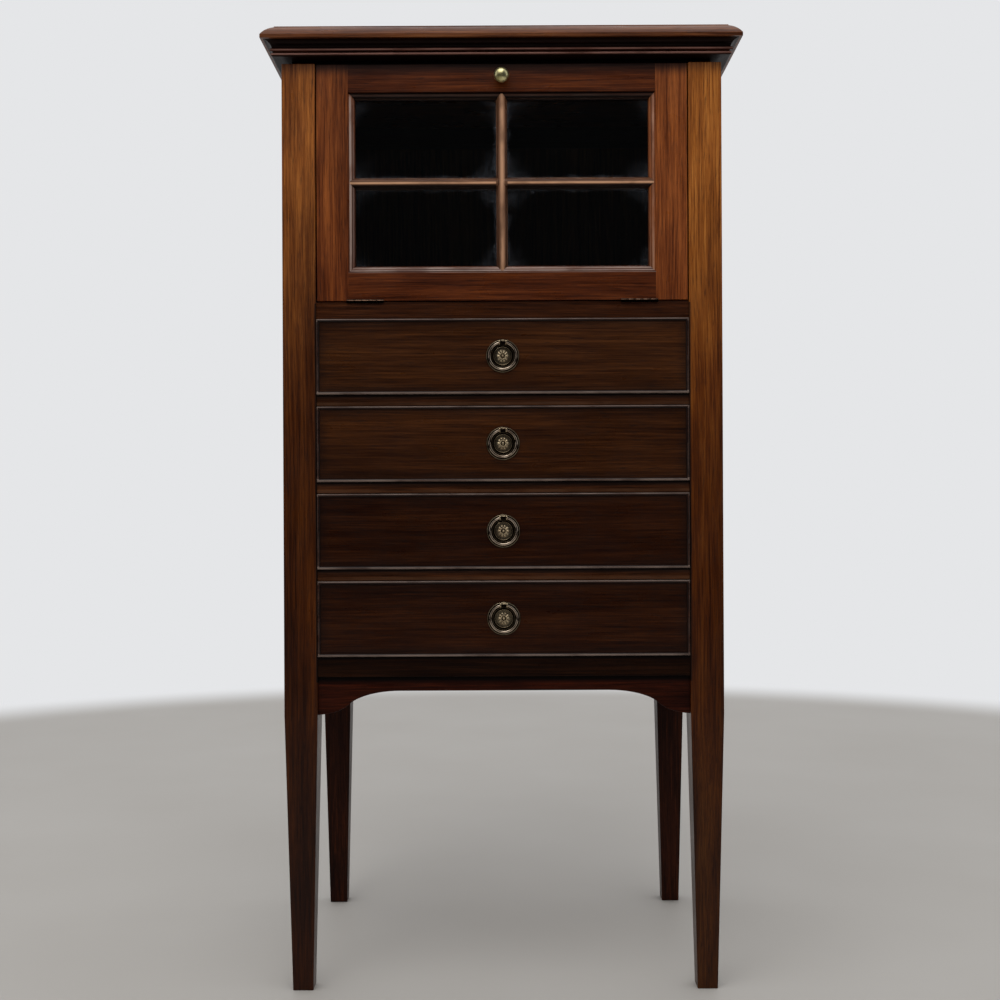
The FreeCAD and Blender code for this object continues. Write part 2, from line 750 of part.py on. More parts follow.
def make_hinge(offset):
    """One butt hinge: the fixed leaf with its pin, and the leaf that turns with the door."""
    x0 = offset - hinge_length / 2
    pitch = hinge_length / knuckle_count
    gap = hinge_knuckle_gap / 2
    axis = V(1, 0, 0)

    def knuckle(index):
        start = x0 + index * pitch + (gap if index else 0)
        end = x0 + (index + 1) * pitch - (gap if index < knuckle_count - 1 else 0)
        return Part.makeCylinder(hinge_knuckle_radius, end - start, V(start, front_y, hinge_z), axis)

    def leaf(z0, z1, numbers, last_y):
        plate = box(x0, x0 + hinge_length, front_y, last_y, z0, z1)
        clear = hinge_knuckle_radius + knuckle_clearance / 2
        others = [i for i in range(knuckle_count) if i not in numbers]
        for i in others:
            start = x0 + i * pitch - gap
            room = Part.makeCylinder(clear, pitch + 2 * gap, V(start, front_y, hinge_z), axis)
            plate = plate.cut(room)
        return fused(plate, *[knuckle(i) for i in numbers])

    last_y = front_y + hinge_leaf_width
    pin_start = V(x0, front_y, hinge_z)
    pin = Part.makeCylinder(hinge_pin_radius, hinge_length, pin_start, axis)
    hole = Part.makeCylinder(hinge_pin_radius + hinge_pin_clearance, hinge_length, pin_start, axis)
    fixed = leaf(door_rail_top - hinge_leaf_thickness, door_rail_top, range(0, knuckle_count, 2), last_y)
    moving = leaf(door_z, door_z + hinge_leaf_thickness, range(1, knuckle_count, 2), last_y)
    return fused(fixed, pin), moving.cut(hole)


def quadrant(angle0, angle1, radius0, radius1, x0, x1):
    """Part of a flat ring about the hinge pin, from angle0 to angle1 back from upright."""
    def at(angle, radius):
        turn = math.radians(angle)
        return V(x0, front_y + radius * math.sin(turn), hinge_z + radius * math.cos(turn))

    middle = (angle0 + angle1) / 2
    edges = [
        Part.Arc(at(angle0, radius0), at(middle, radius0), at(angle1, radius0)).toShape(),
        Part.makeLine(at(angle1, radius0), at(angle1, radius1)),
        Part.Arc(at(angle1, radius1), at(middle, radius1), at(angle0, radius1)).toShape(),
        Part.makeLine(at(angle0, radius1), at(angle0, radius0)),
    ]
    return extruded(Part.Wire(edges), V(x1 - x0, 0, 0))


def stay_foot():
    """The plate of the right-hand stay, let in flush with the back of the door."""
    x = half_opening - stay_offset
    z = hinge_z + stay_radius
    half_width = stay_foot_width / 2
    half_height = stay_foot_height / 2
    return box(
        x - half_width, x + half_width, door_back_y - stay_foot_thickness, door_back_y,
        z - half_height, z + half_height,
    )


def make_stay():
    """The right-hand stay: a foot, a quadrant about the hinge pin, and a stop head on its tail."""
    x = half_opening - stay_offset
    x0 = x - stay_thickness / 2
    x1 = x + stay_thickness / 2
    inner = stay_radius - stay_width / 2
    outer = stay_radius + stay_width / 2
    foot_angle = math.degrees(math.asin((door_thickness - stay_foot_thickness) / stay_radius))
    arc = quadrant(foot_angle, tail_angle + head_angle / 2, inner, outer, x0, x1)
    head = quadrant(
        tail_angle, tail_angle + head_angle, head_inner_radius, head_outer_radius, x0, x1,
    )
    wood_side = box(
        x0 - overshoot, x1 + overshoot, front_y, door_back_y - stay_foot_thickness,
        hinge_z, hinge_z + 2 * stay_radius,
    )
    return fused(arc.cut(wood_side), head, stay_foot())


def make_stay_guide():
    """The right-hand guide: a brass block on the leg, slotted round the quadrant."""
    x = half_opening - stay_offset
    x0 = x - stay_thickness / 2 - stay_clearance
    x1 = x + stay_thickness / 2 + stay_clearance
    y0 = door_back_y + closing_clearance
    crossing_y = y0 + stay_guide_depth / 2 - front_y
    z = hinge_z + math.sqrt(stay_radius ** 2 - crossing_y ** 2)
    block = box(
        half_opening - stay_guide_width, half_opening, y0, y0 + stay_guide_depth,
        z - stay_guide_height / 2, z + stay_guide_height / 2,
    )
    half = stay_width / 2 + stay_clearance
    slot = quadrant(0.0, 2 * stop_angle, stay_radius - half, stay_radius + half, x0, x1)
    return block.cut(slot)


def make_door_stop():
    top = leg_top - door_stop_below_top
    y0 = door_back_y + closing_clearance
    return box(
        half_opening - door_stop_width, half_opening, y0, y0 + door_stop_depth,
        top - door_stop_height, top,
    )


# ---- Knob and tongue ------------------------------------------------------------------------
def tongue_tip_radius():
    return leg_top + tongue_engagement - knob_z


def make_knob():
    """A turned brass knob on a spindle that runs through the door and is riveted over the tongue."""
    plate_back = front_y - tongue_y - tongue_plate_thickness
    collar = (knob_collar_radius, knob_collar_height)
    neck = (knob_neck_radius, knob_neck_out)
    widest = (knob_radius, knob_widest_out)
    return turned(
        (0.0, plate_back - rivet_height),
        [
            (rivet_radius, plate_back - rivet_height),
            (rivet_radius, plate_back),
            (spindle_radius, plate_back),
            (spindle_radius, 0.0),
            (knob_collar_radius, 0.0),
            collar,
            *bend(collar, (knob_neck_radius, knob_collar_height), neck),
            *bend(neck, (knob_radius, knob_neck_out), widest),
            *dome(knob_radius, knob_widest_out, knob_projection),
        ],
        0.0, front_y, knob_z,
    )


def make_tongue():
    """A flat brass tongue behind the door. It lies level when the door is free to open."""
    half = tongue_plate_width / 2
    tip = tongue_tip_radius()

    def disc(radius, x):
        return Part.makeCylinder(radius, tongue_plate_thickness, V(x, tongue_y, knob_z), V(0, 1, 0))

    arm = box(0, tip - half, tongue_y, tongue_y + tongue_plate_thickness, knob_z - half, knob_z + half)
    return fused(disc(tongue_boss_radius, 0), arm, disc(half, tip - half)).cut(disc(spindle_radius, 0))


# ---- Drawers --------------------------------------------------------------------------------
def tails(root_y, tip_y, z0, z1):
    """Dovetails of the right-hand side board, flaring from root_y to tip_y between z0 and z1."""
    pitch = (z1 - z0) / dovetail_count
    tip_half = pitch * dovetail_share / 2
    root_half = tip_half - abs(tip_y - root_y) / dovetail_slope
    x = half_opening - drawer_gap - drawer_side_thickness
    found = []
    for i in range(dovetail_count):
        z = z0 + (i + 0.5) * pitch
        wire = outline(
            (root_y, z - root_half),
            [(tip_y, z - tip_half), (tip_y, z + tip_half), (root_y, z + root_half)],
            lambda y, height: V(x, y, height),
        )
        found.append(extruded(wire, V(drawer_side_thickness, 0, 0)))
    return found


def make_drawer_boards(level):
    """The front, the two sides, the back and the bottom of a drawer on its runner at level."""
    half = half_opening - drawer_gap
    inner = half - drawer_side_thickness
    z0 = level + drawer_gap
    z1 = level + drawer_opening_height - drawer_gap
    side_top = z1 - drawer_side_drop
    bottom_z = z0 + drawer_bottom_up
    bottom_top = bottom_z + drawer_bottom_thickness
    shoulder_y = front_y + drawer_front_thickness
    bead_back_y = front_y + cockbead_seat
    back_front_y = drawer_end_y - drawer_back_thickness

    bottom = box(
        -inner - drawer_groove, inner + drawer_groove, shoulder_y - drawer_groove, drawer_end_y,
        bottom_z, bottom_top,
    )
    side = fused(
        box(inner, half, shoulder_y, back_front_y, z0, side_top),
        box(inner, half, back_front_y, drawer_end_y, z0, bottom_top),
        *tails(shoulder_y, bead_back_y + dovetail_lap, z0, side_top),
        *tails(back_front_y, drawer_end_y, bottom_top, side_top),
    ).cut(bottom)
    sides = both_sides(side)
    back = box(-half, half, back_front_y, drawer_end_y, bottom_top, side_top)
    front = fused(
        box(-half, half, bead_back_y, shoulder_y, z0, z1),
        box(
            cockbead_thickness - half, half - cockbead_thickness, front_y, bead_back_y,
            z0 + cockbead_thickness, z1 - cockbead_thickness,
        ),
    ).cut(bottom)
    for board in sides:
        front = front.cut(board)
        back = back.cut(board)
    return front, sides, back, bottom


def make_cockbead(level):
    """Four mitred strips with a rounded nose, let in round the edges of a drawer front."""
    nose = cockbead_thickness / 2
    shoulder = nose - cockbead_proud
    middle_z = level + drawer_opening_height / 2
    section = [
        (0.0, shoulder),
        ((nose, -cockbead_proud), (cockbead_thickness, shoulder)),
        (cockbead_thickness, cockbead_seat),
    ]
    return mitred_frame(
        0.0, middle_z, half_opening - drawer_gap, drawer_opening_height / 2 - drawer_gap,
        front_y, cockbead_thickness, (0.0, cockbead_seat), section,
    )


def make_pull(z):
    """A round stamped plate with a rosette, bolted through the front, and a ring in its eye."""
    inward = V(0, 1, 0)
    across = V(1, 0, 0)
    rosette = dome(rosette_radius, plate_thickness, rosette_height, rosette_bead_radius)
    rim_middle = plate_radius - plate_rim_width / 2
    disc = turned(
        (0.0, 0.0),
        [
            (plate_radius, 0.0),
            *ridge(rim_middle, plate_rim_width, plate_thickness, plate_rim_height),
            *ridge(plate_ridge_radius, plate_ridge_width, plate_thickness, plate_rim_height),
            (rosette_radius, plate_thickness),
            *rosette,
            *dome(rosette_bead_radius, rosette[-1][1], rosette_bead_height),
        ],
        0.0, front_y, z,
    )
    pivot_z = z + ring_radius
    eye_bore = ring_wire_radius + eye_clearance
    eye_radius = eye_bore + eye_wall
    eye_start = V(-eye_half_width, ring_y, pivot_z)
    barrel = Part.makeCylinder(eye_radius, 2 * eye_half_width, eye_start, across)
    bore = Part.makeCylinder(eye_bore, 2 * eye_half_width, eye_start, across)
    stem = box(
        -eye_half_width, eye_half_width, ring_y, front_y - plate_thickness / 2,
        pivot_z - eye_radius, pivot_z + eye_radius,
    )
    bolt_length = drawer_front_thickness + pull_nut_height
    bolt = Part.makeCylinder(pull_bolt_radius, bolt_length, V(0, front_y, z), inward)
    plate = fused(fused(disc, barrel, stem).cut(bore), bolt)
    nut_start = V(0, front_y + drawer_front_thickness, z)
    nut = Part.makeCylinder(pull_nut_radius, pull_nut_height, nut_start, inward).cut(bolt)
    return plate, nut, make_ring(z), bolt


def make_ring(z):
    """The ring of a pull: a round wire bent to a circle, drawn with ring_wire_sides flats."""
    flats = [2 * math.pi * i / ring_wire_sides for i in range(ring_wire_sides)]
    corners = [
        (ring_radius + ring_wire_radius * math.cos(turn), ring_wire_radius * math.sin(turn))
        for turn in flats
    ]
    return turned(corners[0], corners[1:], 0.0, ring_y, z)


def make_drawer(number, level):
    """Save the pieces of one drawer."""
    front, sides, back, bottom = make_drawer_boards(level)
    plate, nut, ring, bolt = make_pull(level + drawer_opening_height / 2)
    name = "drawer_%d_" % number
    save(name + "front", front.cut(bolt))
    save(name + "cockbead", *make_cockbead(level))
    save(name + "sides", *sides)
    save(name + "back", back)
    save(name + "bottom", bottom)
    save(name + "pull_plate", plate, nut)
    save(name + "pull_ring", ring)


# ---- Build everything -----------------------------------------------------------------------
os.makedirs("parts", exist_ok=True)

door_rail, drawer_rails, bottom_rail = make_rails()
apron = make_apron()
side_panel = make_side_panel()
back_rail, back_panel = make_back()
cupboard_floor = make_cupboard_floor()

front_joints = [door_rail, *drawer_rails, bottom_rail, apron, side_panel]
rear_joints = [back_rail, back_panel, side_panel]
front_leg = make_leg(half_case, front_y, front_joints)
rear_leg = make_leg(half_case, rear_leg_front_y, rear_joints)
side_panel = side_panel.cut(cupboard_floor)

save("front_leg_left", mirrored(front_leg))
save("front_leg_right", front_leg)
save("rear_leg_left", mirrored(rear_leg))
save("rear_leg_right", rear_leg)
save("side_panel_left", mirrored(side_panel))
save("side_panel_right", side_panel)
save("back_rail", back_rail)
save("back_panel", back_panel)
save("rail_under_door", door_rail)
save("drawer_rails", *drawer_rails)
save("bottom_rail", bottom_rail)
save("apron", apron)
save("top_frame", *make_top_frame())
save("cornice_moulding", *make_cornice())
save("top_board", make_top_board())
save("cupboard_floor", cupboard_floor)
save("runners_and_guides", *make_runners())
save("drawer_stops", *make_drawer_stops())
save("door_stops", *both_sides(make_door_stop()))
save("stay_guides", *both_sides(make_stay_guide()))

stile, door_bottom_rail, door_top_rail, glazed_opening = make_door_frame()
door_frame = [mirrored(stile), stile, door_bottom_rail, door_top_rail]
bars, panes, glazing_beads = make_glazing(door_frame, glazed_opening)
hinges = [make_hinge(-hinge_offset), make_hinge(hinge_offset)]
save("door_stile_left", mirrored(stile))
save("door_stile_right", stile)
save("door_top_rail", door_top_rail)
save("door_bottom_rail", door_bottom_rail)
save("glazing_bars", *bars)
save("glass_panes", *panes)
save("glazing_beads", *glazing_beads)
save("hinge_leaves_fixed", *[fixed for fixed, moving in hinges])
save("hinge_leaves_moving", *[moving for fixed, moving in hinges])
save("quadrant_stays", *both_sides(make_stay()))
save("door_knob", make_knob())
save("latch_tongue", make_tongue())

for number, level in enumerate(drawer_levels, 1):
    make_drawer(number, level)

print("door hinge pin: y %.2f z %.2f" % (front_y, hinge_z))
print("door top %.2f, knob z %.2f, cupboard floor top %.2f" % (door_top, knob_z, cupboard_floor_top))
print("drawer levels, top to bottom:", ["%.1f" % z for z in drawer_levels])
print("ring pivot: y %.2f, above the pull's middle %.2f" % (ring_y, ring_radius))
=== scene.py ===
# %% [markdown]
# # Dressing a glazed haberdashery cabinet
#
# The cabinet comes as sixty plain pieces: legs, rails, drawers, a glazed door. This lesson gives them
# wood, brass and glass, adds the small turned and stamped brasses as smooth surfaces, and sets up a
# plain studio. The pieces could be modelled again here, but they already have the right sizes and
# joints, so they stay where they are, and all but the turned and stamped brasses only get a finish.

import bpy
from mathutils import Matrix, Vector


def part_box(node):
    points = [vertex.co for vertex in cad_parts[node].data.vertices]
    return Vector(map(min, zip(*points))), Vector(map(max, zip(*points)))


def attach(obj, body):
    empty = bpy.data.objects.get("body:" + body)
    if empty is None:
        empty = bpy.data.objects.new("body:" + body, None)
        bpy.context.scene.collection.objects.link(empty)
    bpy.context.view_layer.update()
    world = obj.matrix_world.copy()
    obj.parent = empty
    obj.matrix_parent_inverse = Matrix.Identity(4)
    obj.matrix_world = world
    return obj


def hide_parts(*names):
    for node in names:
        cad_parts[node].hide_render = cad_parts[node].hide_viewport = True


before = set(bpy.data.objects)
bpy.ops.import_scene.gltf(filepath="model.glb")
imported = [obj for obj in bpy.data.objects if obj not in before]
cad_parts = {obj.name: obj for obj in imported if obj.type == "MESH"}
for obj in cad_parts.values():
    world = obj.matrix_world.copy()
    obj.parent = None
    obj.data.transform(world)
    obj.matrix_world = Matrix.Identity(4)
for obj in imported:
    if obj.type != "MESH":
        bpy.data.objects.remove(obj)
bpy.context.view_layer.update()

# %% Libraries
import math

import bpy
import bmesh
import numpy as np
from mathutils import Vector

MM = 0.001

# %% [markdown]
# ## Shader arithmetic
#
# A finish is a sum of patterns. Dragging nodes by hand would work, but a formula is easier to read.
# So one small class wraps the output of a node and lets Python's own signs add Math nodes, and one
# method makes every other kind of node.


# %% A value that flows through a material
class Value:
    """The output of a node. An expression on values adds the Math nodes that work it out."""

    def __init__(self, board, socket):
        self.board = board
        self.socket = socket

    def worked(self, operation, first, second):
        return self.board.node("ShaderNodeMath", {"operation": operation}, {0: first, 1: second})

    def __add__(self, other):
        return self.worked("ADD", self, other)

    def __sub__(self, other):
        return self.worked("SUBTRACT", self, other)

    def __rsub__(self, other):
        return self.worked("SUBTRACT", other, self)

    def __mul__(self, other):
        return self.worked("MULTIPLY", self, other)

    def __truediv__(self, other):
        return self.worked("DIVIDE", self, other)

    def __rtruediv__(self, other):
        return self.worked("DIVIDE", other, self)

    def __abs__(self):
        return self.board.node("ShaderNodeMath", {"operation": "ABSOLUTE"}, {0: self})

    __radd__ = __add__
    __rmul__ = __mul__

    def least(self, other):
        return self.worked("MINIMUM", self, other)

    def most(self, other):
        return self.worked("MAXIMUM", self, other)


# %% The board that the nodes are pinned to
class Board:
    """A node tree, and the one method that adds any node to it."""

    def __init__(self, tree):
        self.tree = tree
        self.tree.nodes.clear()

    def node(self, kind, settings=None, inputs=None, output=0):
        """Adds a node: its settings first (a ramp's stops too), then the values or links of its sockets."""
        made = self.tree.nodes.new(kind)
        for name, setting in (settings or {}).items():
            if name == "stops":
                ramp = made.color_ramp.elements
                while len(ramp) < len(setting):
                    ramp.new(0.5)
                for element, (position, colour) in zip(ramp, setting):
                    element.position = position
                    element.color = colour
            else:
                setattr(made, name, setting)
        for name, value in (inputs or {}).items():
            if isinstance(value, Value):
                self.tree.links.new(value.socket, made.inputs[name])
            else:
                made.inputs[name].default_value = value
        return Value(self, made.outputs[output]) if made.outputs else made


def new_finish(name):
    """An empty material and its board."""
    material = bpy.data.materials.new(name)
    material.use_nodes = True
    return material, Board(material.node_tree)


# %% Colours, steps, mixes and noise
def seen(red, green, blue):
    """A colour as the eye sees it, 0 to 255, made linear: ((c + 0.055) / 1.055) to the power 2.4,
    or c / 12.92 where it is very dark."""
    parts = [c / 255 for c in (red, green, blue)]
    return tuple(((c + 0.055) / 1.055) ** 2.4 if c > 0.04045 else c / 12.92 for c in parts) + (1.0,)


def step(value, low, high):
    """0 below low, 1 above high, and a smooth rise between them."""
    settings = {"interpolation_type": "SMOOTHSTEP"}
    return value.board.node("ShaderNodeMapRange", settings, {0: value, 1: low, 2: high})


def mix(share, first, second, kind="MIX"):
    """Colour from first to second as share goes from 0 to 1. Any of the three may be a constant."""
    board = next(value.board for value in (share, first, second) if isinstance(value, Value))
    settings = {"data_type": "RGBA", "blend_type": kind}
    return board.node("ShaderNodeMix", settings, {0: share, 6: first, 7: second}, 2)


def stretched(place, across, along, shift=0.0):
    """A place in the wood, in metres, scaled for a pattern: across the grain twice, then along it."""
    settings = {"operation": "MULTIPLY_ADD"}
    scale = (across, across, along)
    return place.board.node("ShaderNodeVectorMath", settings, {0: place, 1: scale, 2: (shift,) * 3})


def noise(place, detail=2.0, roughness=0.5, output=0):
    """Soft random hills, about 0.2 to 0.8 high. Output 1 gives them as a colour instead."""
    inputs = {"Vector": place, "Scale": 1.0, "Detail": detail, "Roughness": roughness}
    return place.board.node("ShaderNodeTexNoise", None, inputs, output)


print("a mid brown as the shader wants it:", [round(c, 3) for c in seen(108, 63, 30)])

# %% [markdown]
# ## Camera
#
# The cabinet is looked at straight from the front, about 1.4 m from its face and at half its height,
# so that the legs stay upright. The camera is turned a quarter of a degree, as a hand-held one is.

# %% Camera
camera_out, camera_height, camera_aside = 1.5674, 0.5289, -0.0036
front_plane = -164.0  # the legs and drawer fronts face forward here, in millimetres

camera_data = bpy.data.cameras.new("camera")
camera_data.lens = 46.8
camera_data.sensor_width = 36.0
camera_data.shift_y = 0.002
camera = bpy.data.objects.new("camera", camera_data)
camera.location = (camera_aside, -camera_out, camera_height)
camera.rotation_euler = (math.radians(90), math.radians(0.27), 0)
bpy.context.scene.collection.objects.link(camera)
bpy.context.scene.camera = camera
print("camera is", round(camera_out + front_plane * MM, 3), "m in front of the cabinet's face")

# %% [markdown]
# ## A plain studio
#
# Dark polished wood shows everything round it. A white room on all sides would lay a grey veil over
# it, so the room is white behind, beside and above, and dim only straight ahead of the cabinet. Flat
# fronts then stay dark and clear, while every round edge finds something bright to catch. One large
# weak lamp above the front gives soft shadows. The floor is pale grey where the cabinet stands and
# turns into the white wall further off, the same in every direction.

# %% World: a white room with a dim side in front
bpy.context.scene.view_settings.view_transform = "Standard"
world = bpy.data.worlds.new("studio")
world.use_nodes = True
bpy.context.scene.world = world
room = Board(world.node_tree)

wall_white = seen(229, 230, 232)
room_dim = (0.02, 0.02, 0.021, 1)
room_light = (0.8, 0.8, 0.81, 1)
dim_until, white_from = -0.72, -0.12  # how far a direction points back towards the wall
direction = room.node("ShaderNodeTexCoord", output="Generated")
toward_wall = room.node("ShaderNodeSeparateXYZ", None, {0: direction}, 1)
ray_camera = room.node("ShaderNodeLightPath", output="Is Camera Ray")
ray_glossy = room.node("ShaderNodeLightPath", output="Is Glossy Ray")
ray_through = room.node("ShaderNodeLightPath", output="Is Transmission Ray")
mirrored = mix(step(toward_wall, dim_until, white_from), room_dim, wall_white)
sharp = mix(ray_camera, mirrored, wall_white)
light = mix(ray_camera.most(ray_glossy).most(ray_through), room_light, sharp)
background = room.node("ShaderNodeBackground", None, {"Color": light, "Strength": 1.0})
room.node("ShaderNodeOutputWorld", None, {"Surface": background})
print("the room has", len(room.tree.nodes), "nodes")

# %% Floor
floor_reach = 30.0
floor_drop = 0.0002
grey_until, white_beyond = 1.95, 2.3  # metres from the middle


def floor_finish():
    material, board = new_finish("floor")
    place = board.node("ShaderNodeTexCoord", output="Object")
    away = board.node("ShaderNodeVectorMath", {"operation": "LENGTH"}, {0: place}, 1)
    wall_share = step(away, grey_until, white_beyond)
    behind = step(board.node("ShaderNodeSeparateXYZ", None, {0: place}, 1), -0.3, 0.6)
    ray_camera = board.node("ShaderNodeLightPath", output="Is Camera Ray")
    far = mix(ray_camera, mix(behind, room_dim, wall_white), wall_white)
    mottle = noise(stretched(place, 3.0, 3.0), 3.0)
    grey = mix(mottle, seen(176, 172, 166), seen(186, 183, 178))
    inputs = {"Base Color": grey, "Roughness": 0.6, "Specular IOR Level": 0.2}
    shader = board.node("ShaderNodeBsdfPrincipled", None, inputs)
    glow = board.node("ShaderNodeEmission", None, {"Color": far, "Strength": 1.0})
    either = board.node("ShaderNodeMixShader", None, {0: wall_share, 1: shader, 2: glow})
    board.node("ShaderNodeOutputMaterial", None, {"Surface": either})
    return material


floor_mesh = bpy.data.meshes.new("floor")
square = ((-1, -1), (1, -1), (1, 1), (-1, 1))
corners = [(x * floor_reach, y * floor_reach, -floor_drop) for x, y in square]
floor_mesh.from_pydata(corners, [], [(0, 1, 2, 3)])
floor = bpy.data.objects.new("floor", floor_mesh)
floor_mesh.materials.append(floor_finish())
bpy.context.scene.collection.objects.link(floor)
print("floor is", 2 * floor_reach, "m across")

# %% Key lamp
lamp_data = bpy.data.lights.new("key lamp", "AREA")
lamp_data.size = 1.5
lamp_data.energy = 14.0
lamp_data.color = (1.0, 0.985, 0.96)
lamp = bpy.data.objects.new("key lamp", lamp_data)
lamp_place, lamp_aim = Vector((-0.25, -1.15, 2.4)), Vector((0, 0, 0.7))
lamp.location = lamp_place
lamp.rotation_euler = (lamp_aim - lamp_place).to_track_quat("-Z", "Y").to_euler()
bpy.context.scene.collection.objects.link(lamp)
print("the key lamp gives", lamp_data.energy, "W")

# %% [markdown]
# ## Mahogany
#
# Polished mahogany is a red brown with darker and lighter bands that run with the grain, fine
# streaks, short dark pores filled with polish, and a ribbon of light and shade across them. A picture
# of wood could be wrapped on, but it would show its seams and its size. Here the wood is worked out
# from the place in the cabinet itself, so that an end shows end grain and a side shows streaks, and
# each piece is cut from another part of the same tree.

# %% Where a point lies in the wood
piece_shift = (0.137, 0.071, 0.293)  # metres through the tree, for each step of a piece's seed


def grain_place(board, grain, seed, turned_where=None):
    """The place as (across, across, along the grain). turned_where gives a second direction and the
    share of it at a point, for nodes whose strips run two ways."""
    place = board.node("ShaderNodeTexCoord", output="Object")
    orders = {"x": (1, 2, 0), "y": (0, 2, 1), "z": (0, 1, 2)}
    axes = [board.node("ShaderNodeSeparateXYZ", None, {0: place}, i) for i in range(3)]

    def lined_up(direction):
        moved = [axes[i] + seed * shift for i, shift in zip(orders[direction], piece_shift)]
        return board.node("ShaderNodeCombineXYZ", None, dict(enumerate(moved)))

    if turned_where is None:
        return axes, lined_up(grain)
    other, share_of = turned_where
    settings = {"data_type": "VECTOR"}
    inputs = {0: share_of(*axes), 4: lined_up(grain), 5: lined_up(other)}
    return axes, board.node("ShaderNodeMix", settings, inputs, 1)


# %% The figure of the wood
def wood_figure(place):
    """Bands, streaks, pores, ribbon and patches, each a noise drawn out along the grain, on a place
    that a slow noise has pushed aside by a few millimetres so that the grain wanders. The scales are
    hills to the metre, across and along."""
    board = place.board
    slow = noise(stretched(place, 8.0, 1.6), 2.0, output=1)
    settings = {"operation": "MULTIPLY_ADD"}
    push = {0: slow, 1: (0.016, 0.016, 0.0), 2: place}
    wandering = board.node("ShaderNodeVectorMath", settings, push)
    bands = noise(stretched(wandering, 95.0, 2.6), 3.0, 0.6)
    streaks = noise(stretched(wandering, 520.0, 12.0, 3.1), 4.0, 0.75)
    pores = step(noise(stretched(wandering, 1500.0, 60.0, 5.7), 1.0), 0.60, 0.70)
    ribbon = noise(stretched(wandering, 34.0, 9.0, 9.3), 3.0)
    patches = noise(stretched(wandering, 14.0, 2.4, 1.9), 3.0)
    return bands, streaks, pores, ribbon, patches


# %% A polished wood finish
tone_spread = 0.17  # how far the figure strays from 0.5
# The second colour is the near-black of painted shade.
pore_black, shade_black = seen(14, 5, 2), seen(9, 2, 1)


def polished_wood(name, grain, tones, seed, heights=None, turned_where=None,
                  dullness=0.3, sheen=0.17, contrast=1.45, cloudy=0.2, painted_highlight=None, painted_shade=None):
    """tones are a dark, a middle and a light colour for the figure. heights are pairs of a height in
    metres and a tint that the colour is multiplied by there. dullness is how rough the polish is,
    sheen how much it mirrors, contrast how strong the figure is and cloudy how dark its patches are.
    The next argument is a painted highlight: a function that gives a share at a point, with the pale
    colour painted there. The last is painted shade: a function that gives the share of near-black
    painted at a point."""
    material, board = new_finish(name)
    axes, place = grain_place(board, grain, seed, turned_where)
    bands, streaks, pores, ribbon, patches = wood_figure(place)
    figure = bands * 0.28 + streaks * 0.6 + ribbon * 0.12
    spread = tone_spread / contrast
    stops = list(zip((0.5 - spread, 0.5, 0.5 + spread), tones))
    colour = board.node("ShaderNodeValToRGB", {"stops": stops}, {0: figure})
    if heights:
        level = axes[2] + (patches - 0.5) * 0.25
        tint = board.node("ShaderNodeValToRGB", {"stops": heights}, {0: level})
        colour = mix(1.0, colour, tint, "MULTIPLY")
    shade = step(patches * 0.7 + ribbon * 0.3, 0.36, 0.6)
    colour = mix((1 - shade) * cloudy, colour, (0, 0, 0, 1))
    colour = mix(pores * 0.5, colour, pore_black)
    # Painted highlight: a paler colour where light would catch the wood.
    if painted_highlight:
        share_of, highlight_colour = painted_highlight
        broken = step(noise(stretched(place, 70.0, 26.0, 4.4), 3.0), 0.3, 0.62)
        colour = mix(share_of(*axes) * (0.3 + broken * 0.7), colour, highlight_colour)
    smears = noise(stretched(place, 40.0, 22.0, 7.7), 3.0)
    roughness = smears * 0.22 + (dullness - 0.11) + pores * 0.15
    # Painted shade: the colour goes towards near-black, and the polish a little duller, where shade would
    # fall.
    if painted_shade:
        shaded = painted_shade(*axes)
        colour = mix(shaded, colour, shade_black)
        roughness = roughness + shaded * 0.2
    relief = streaks * 0.35 - pores * 0.5 + smears * 0.6
    bump = board.node("ShaderNodeBump", None, {"Strength": 0.12, "Distance": 0.0006, "Height": relief})
    inputs = {"Base Color": colour, "Roughness": roughness, "Specular IOR Level": sheen, "Normal": bump}
    shader = board.node("ShaderNodeBsdfPrincipled", None, inputs)
    board.node("ShaderNodeOutputMaterial", None, {"Surface": shader})
    return material


def dress(node, material):
    """Puts one material on a CAD node."""
    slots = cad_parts[node].data.materials
    slots.clear()
    slots.append(material)


# %% [markdown]
# ## Wood, piece by piece
#
# The legs are gold at the top and red low down: partly faded wood, partly painted light from above.
# The door's stiles are darker towards the bottom too. The rails and drawer fronts have kept nearly
# black red-brown polish. Pale painted highlights lie on the noses of the mouldings, where light would
# catch them, and black painted shade lies in the hollows, in the joints and under the cornice. Masks
# could be painted by hand, but steps on the height and the distance from an edge follow the pieces
# wherever they are.

# %% Bands and joints
door_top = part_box("door_top_rail")[1].z


def band(value, low, high, soft=0.0004):
    """1 between low and high, with edges as soft as soft."""
    return step(value, low - soft, low + soft) * (1 - step(value, high - soft, high + soft))


def in_front(y):
    """1 on the front of the door, 0 from 12 mm behind its face."""
    return 1 - step(y - front_plane * MM, 0.0110, 0.0120)


def cornice_shadow(z):
    """Painted shadow on the last centimetre and a half below the cornice."""
    return step(z - door_top, -0.0152, -0.0007) * 0.85


def top_edge_shadow(node, deep, share):
    """A painted shadow function: all of share in the joint with the piece above, and none at deep below it.
    """
    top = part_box(node)[1].z

    def painted_shade(x, y, z):
        return step(z - top, -deep, -deep / 3) * share

    return painted_shade


print("the door ends at", round(door_top / MM, 1), "mm")
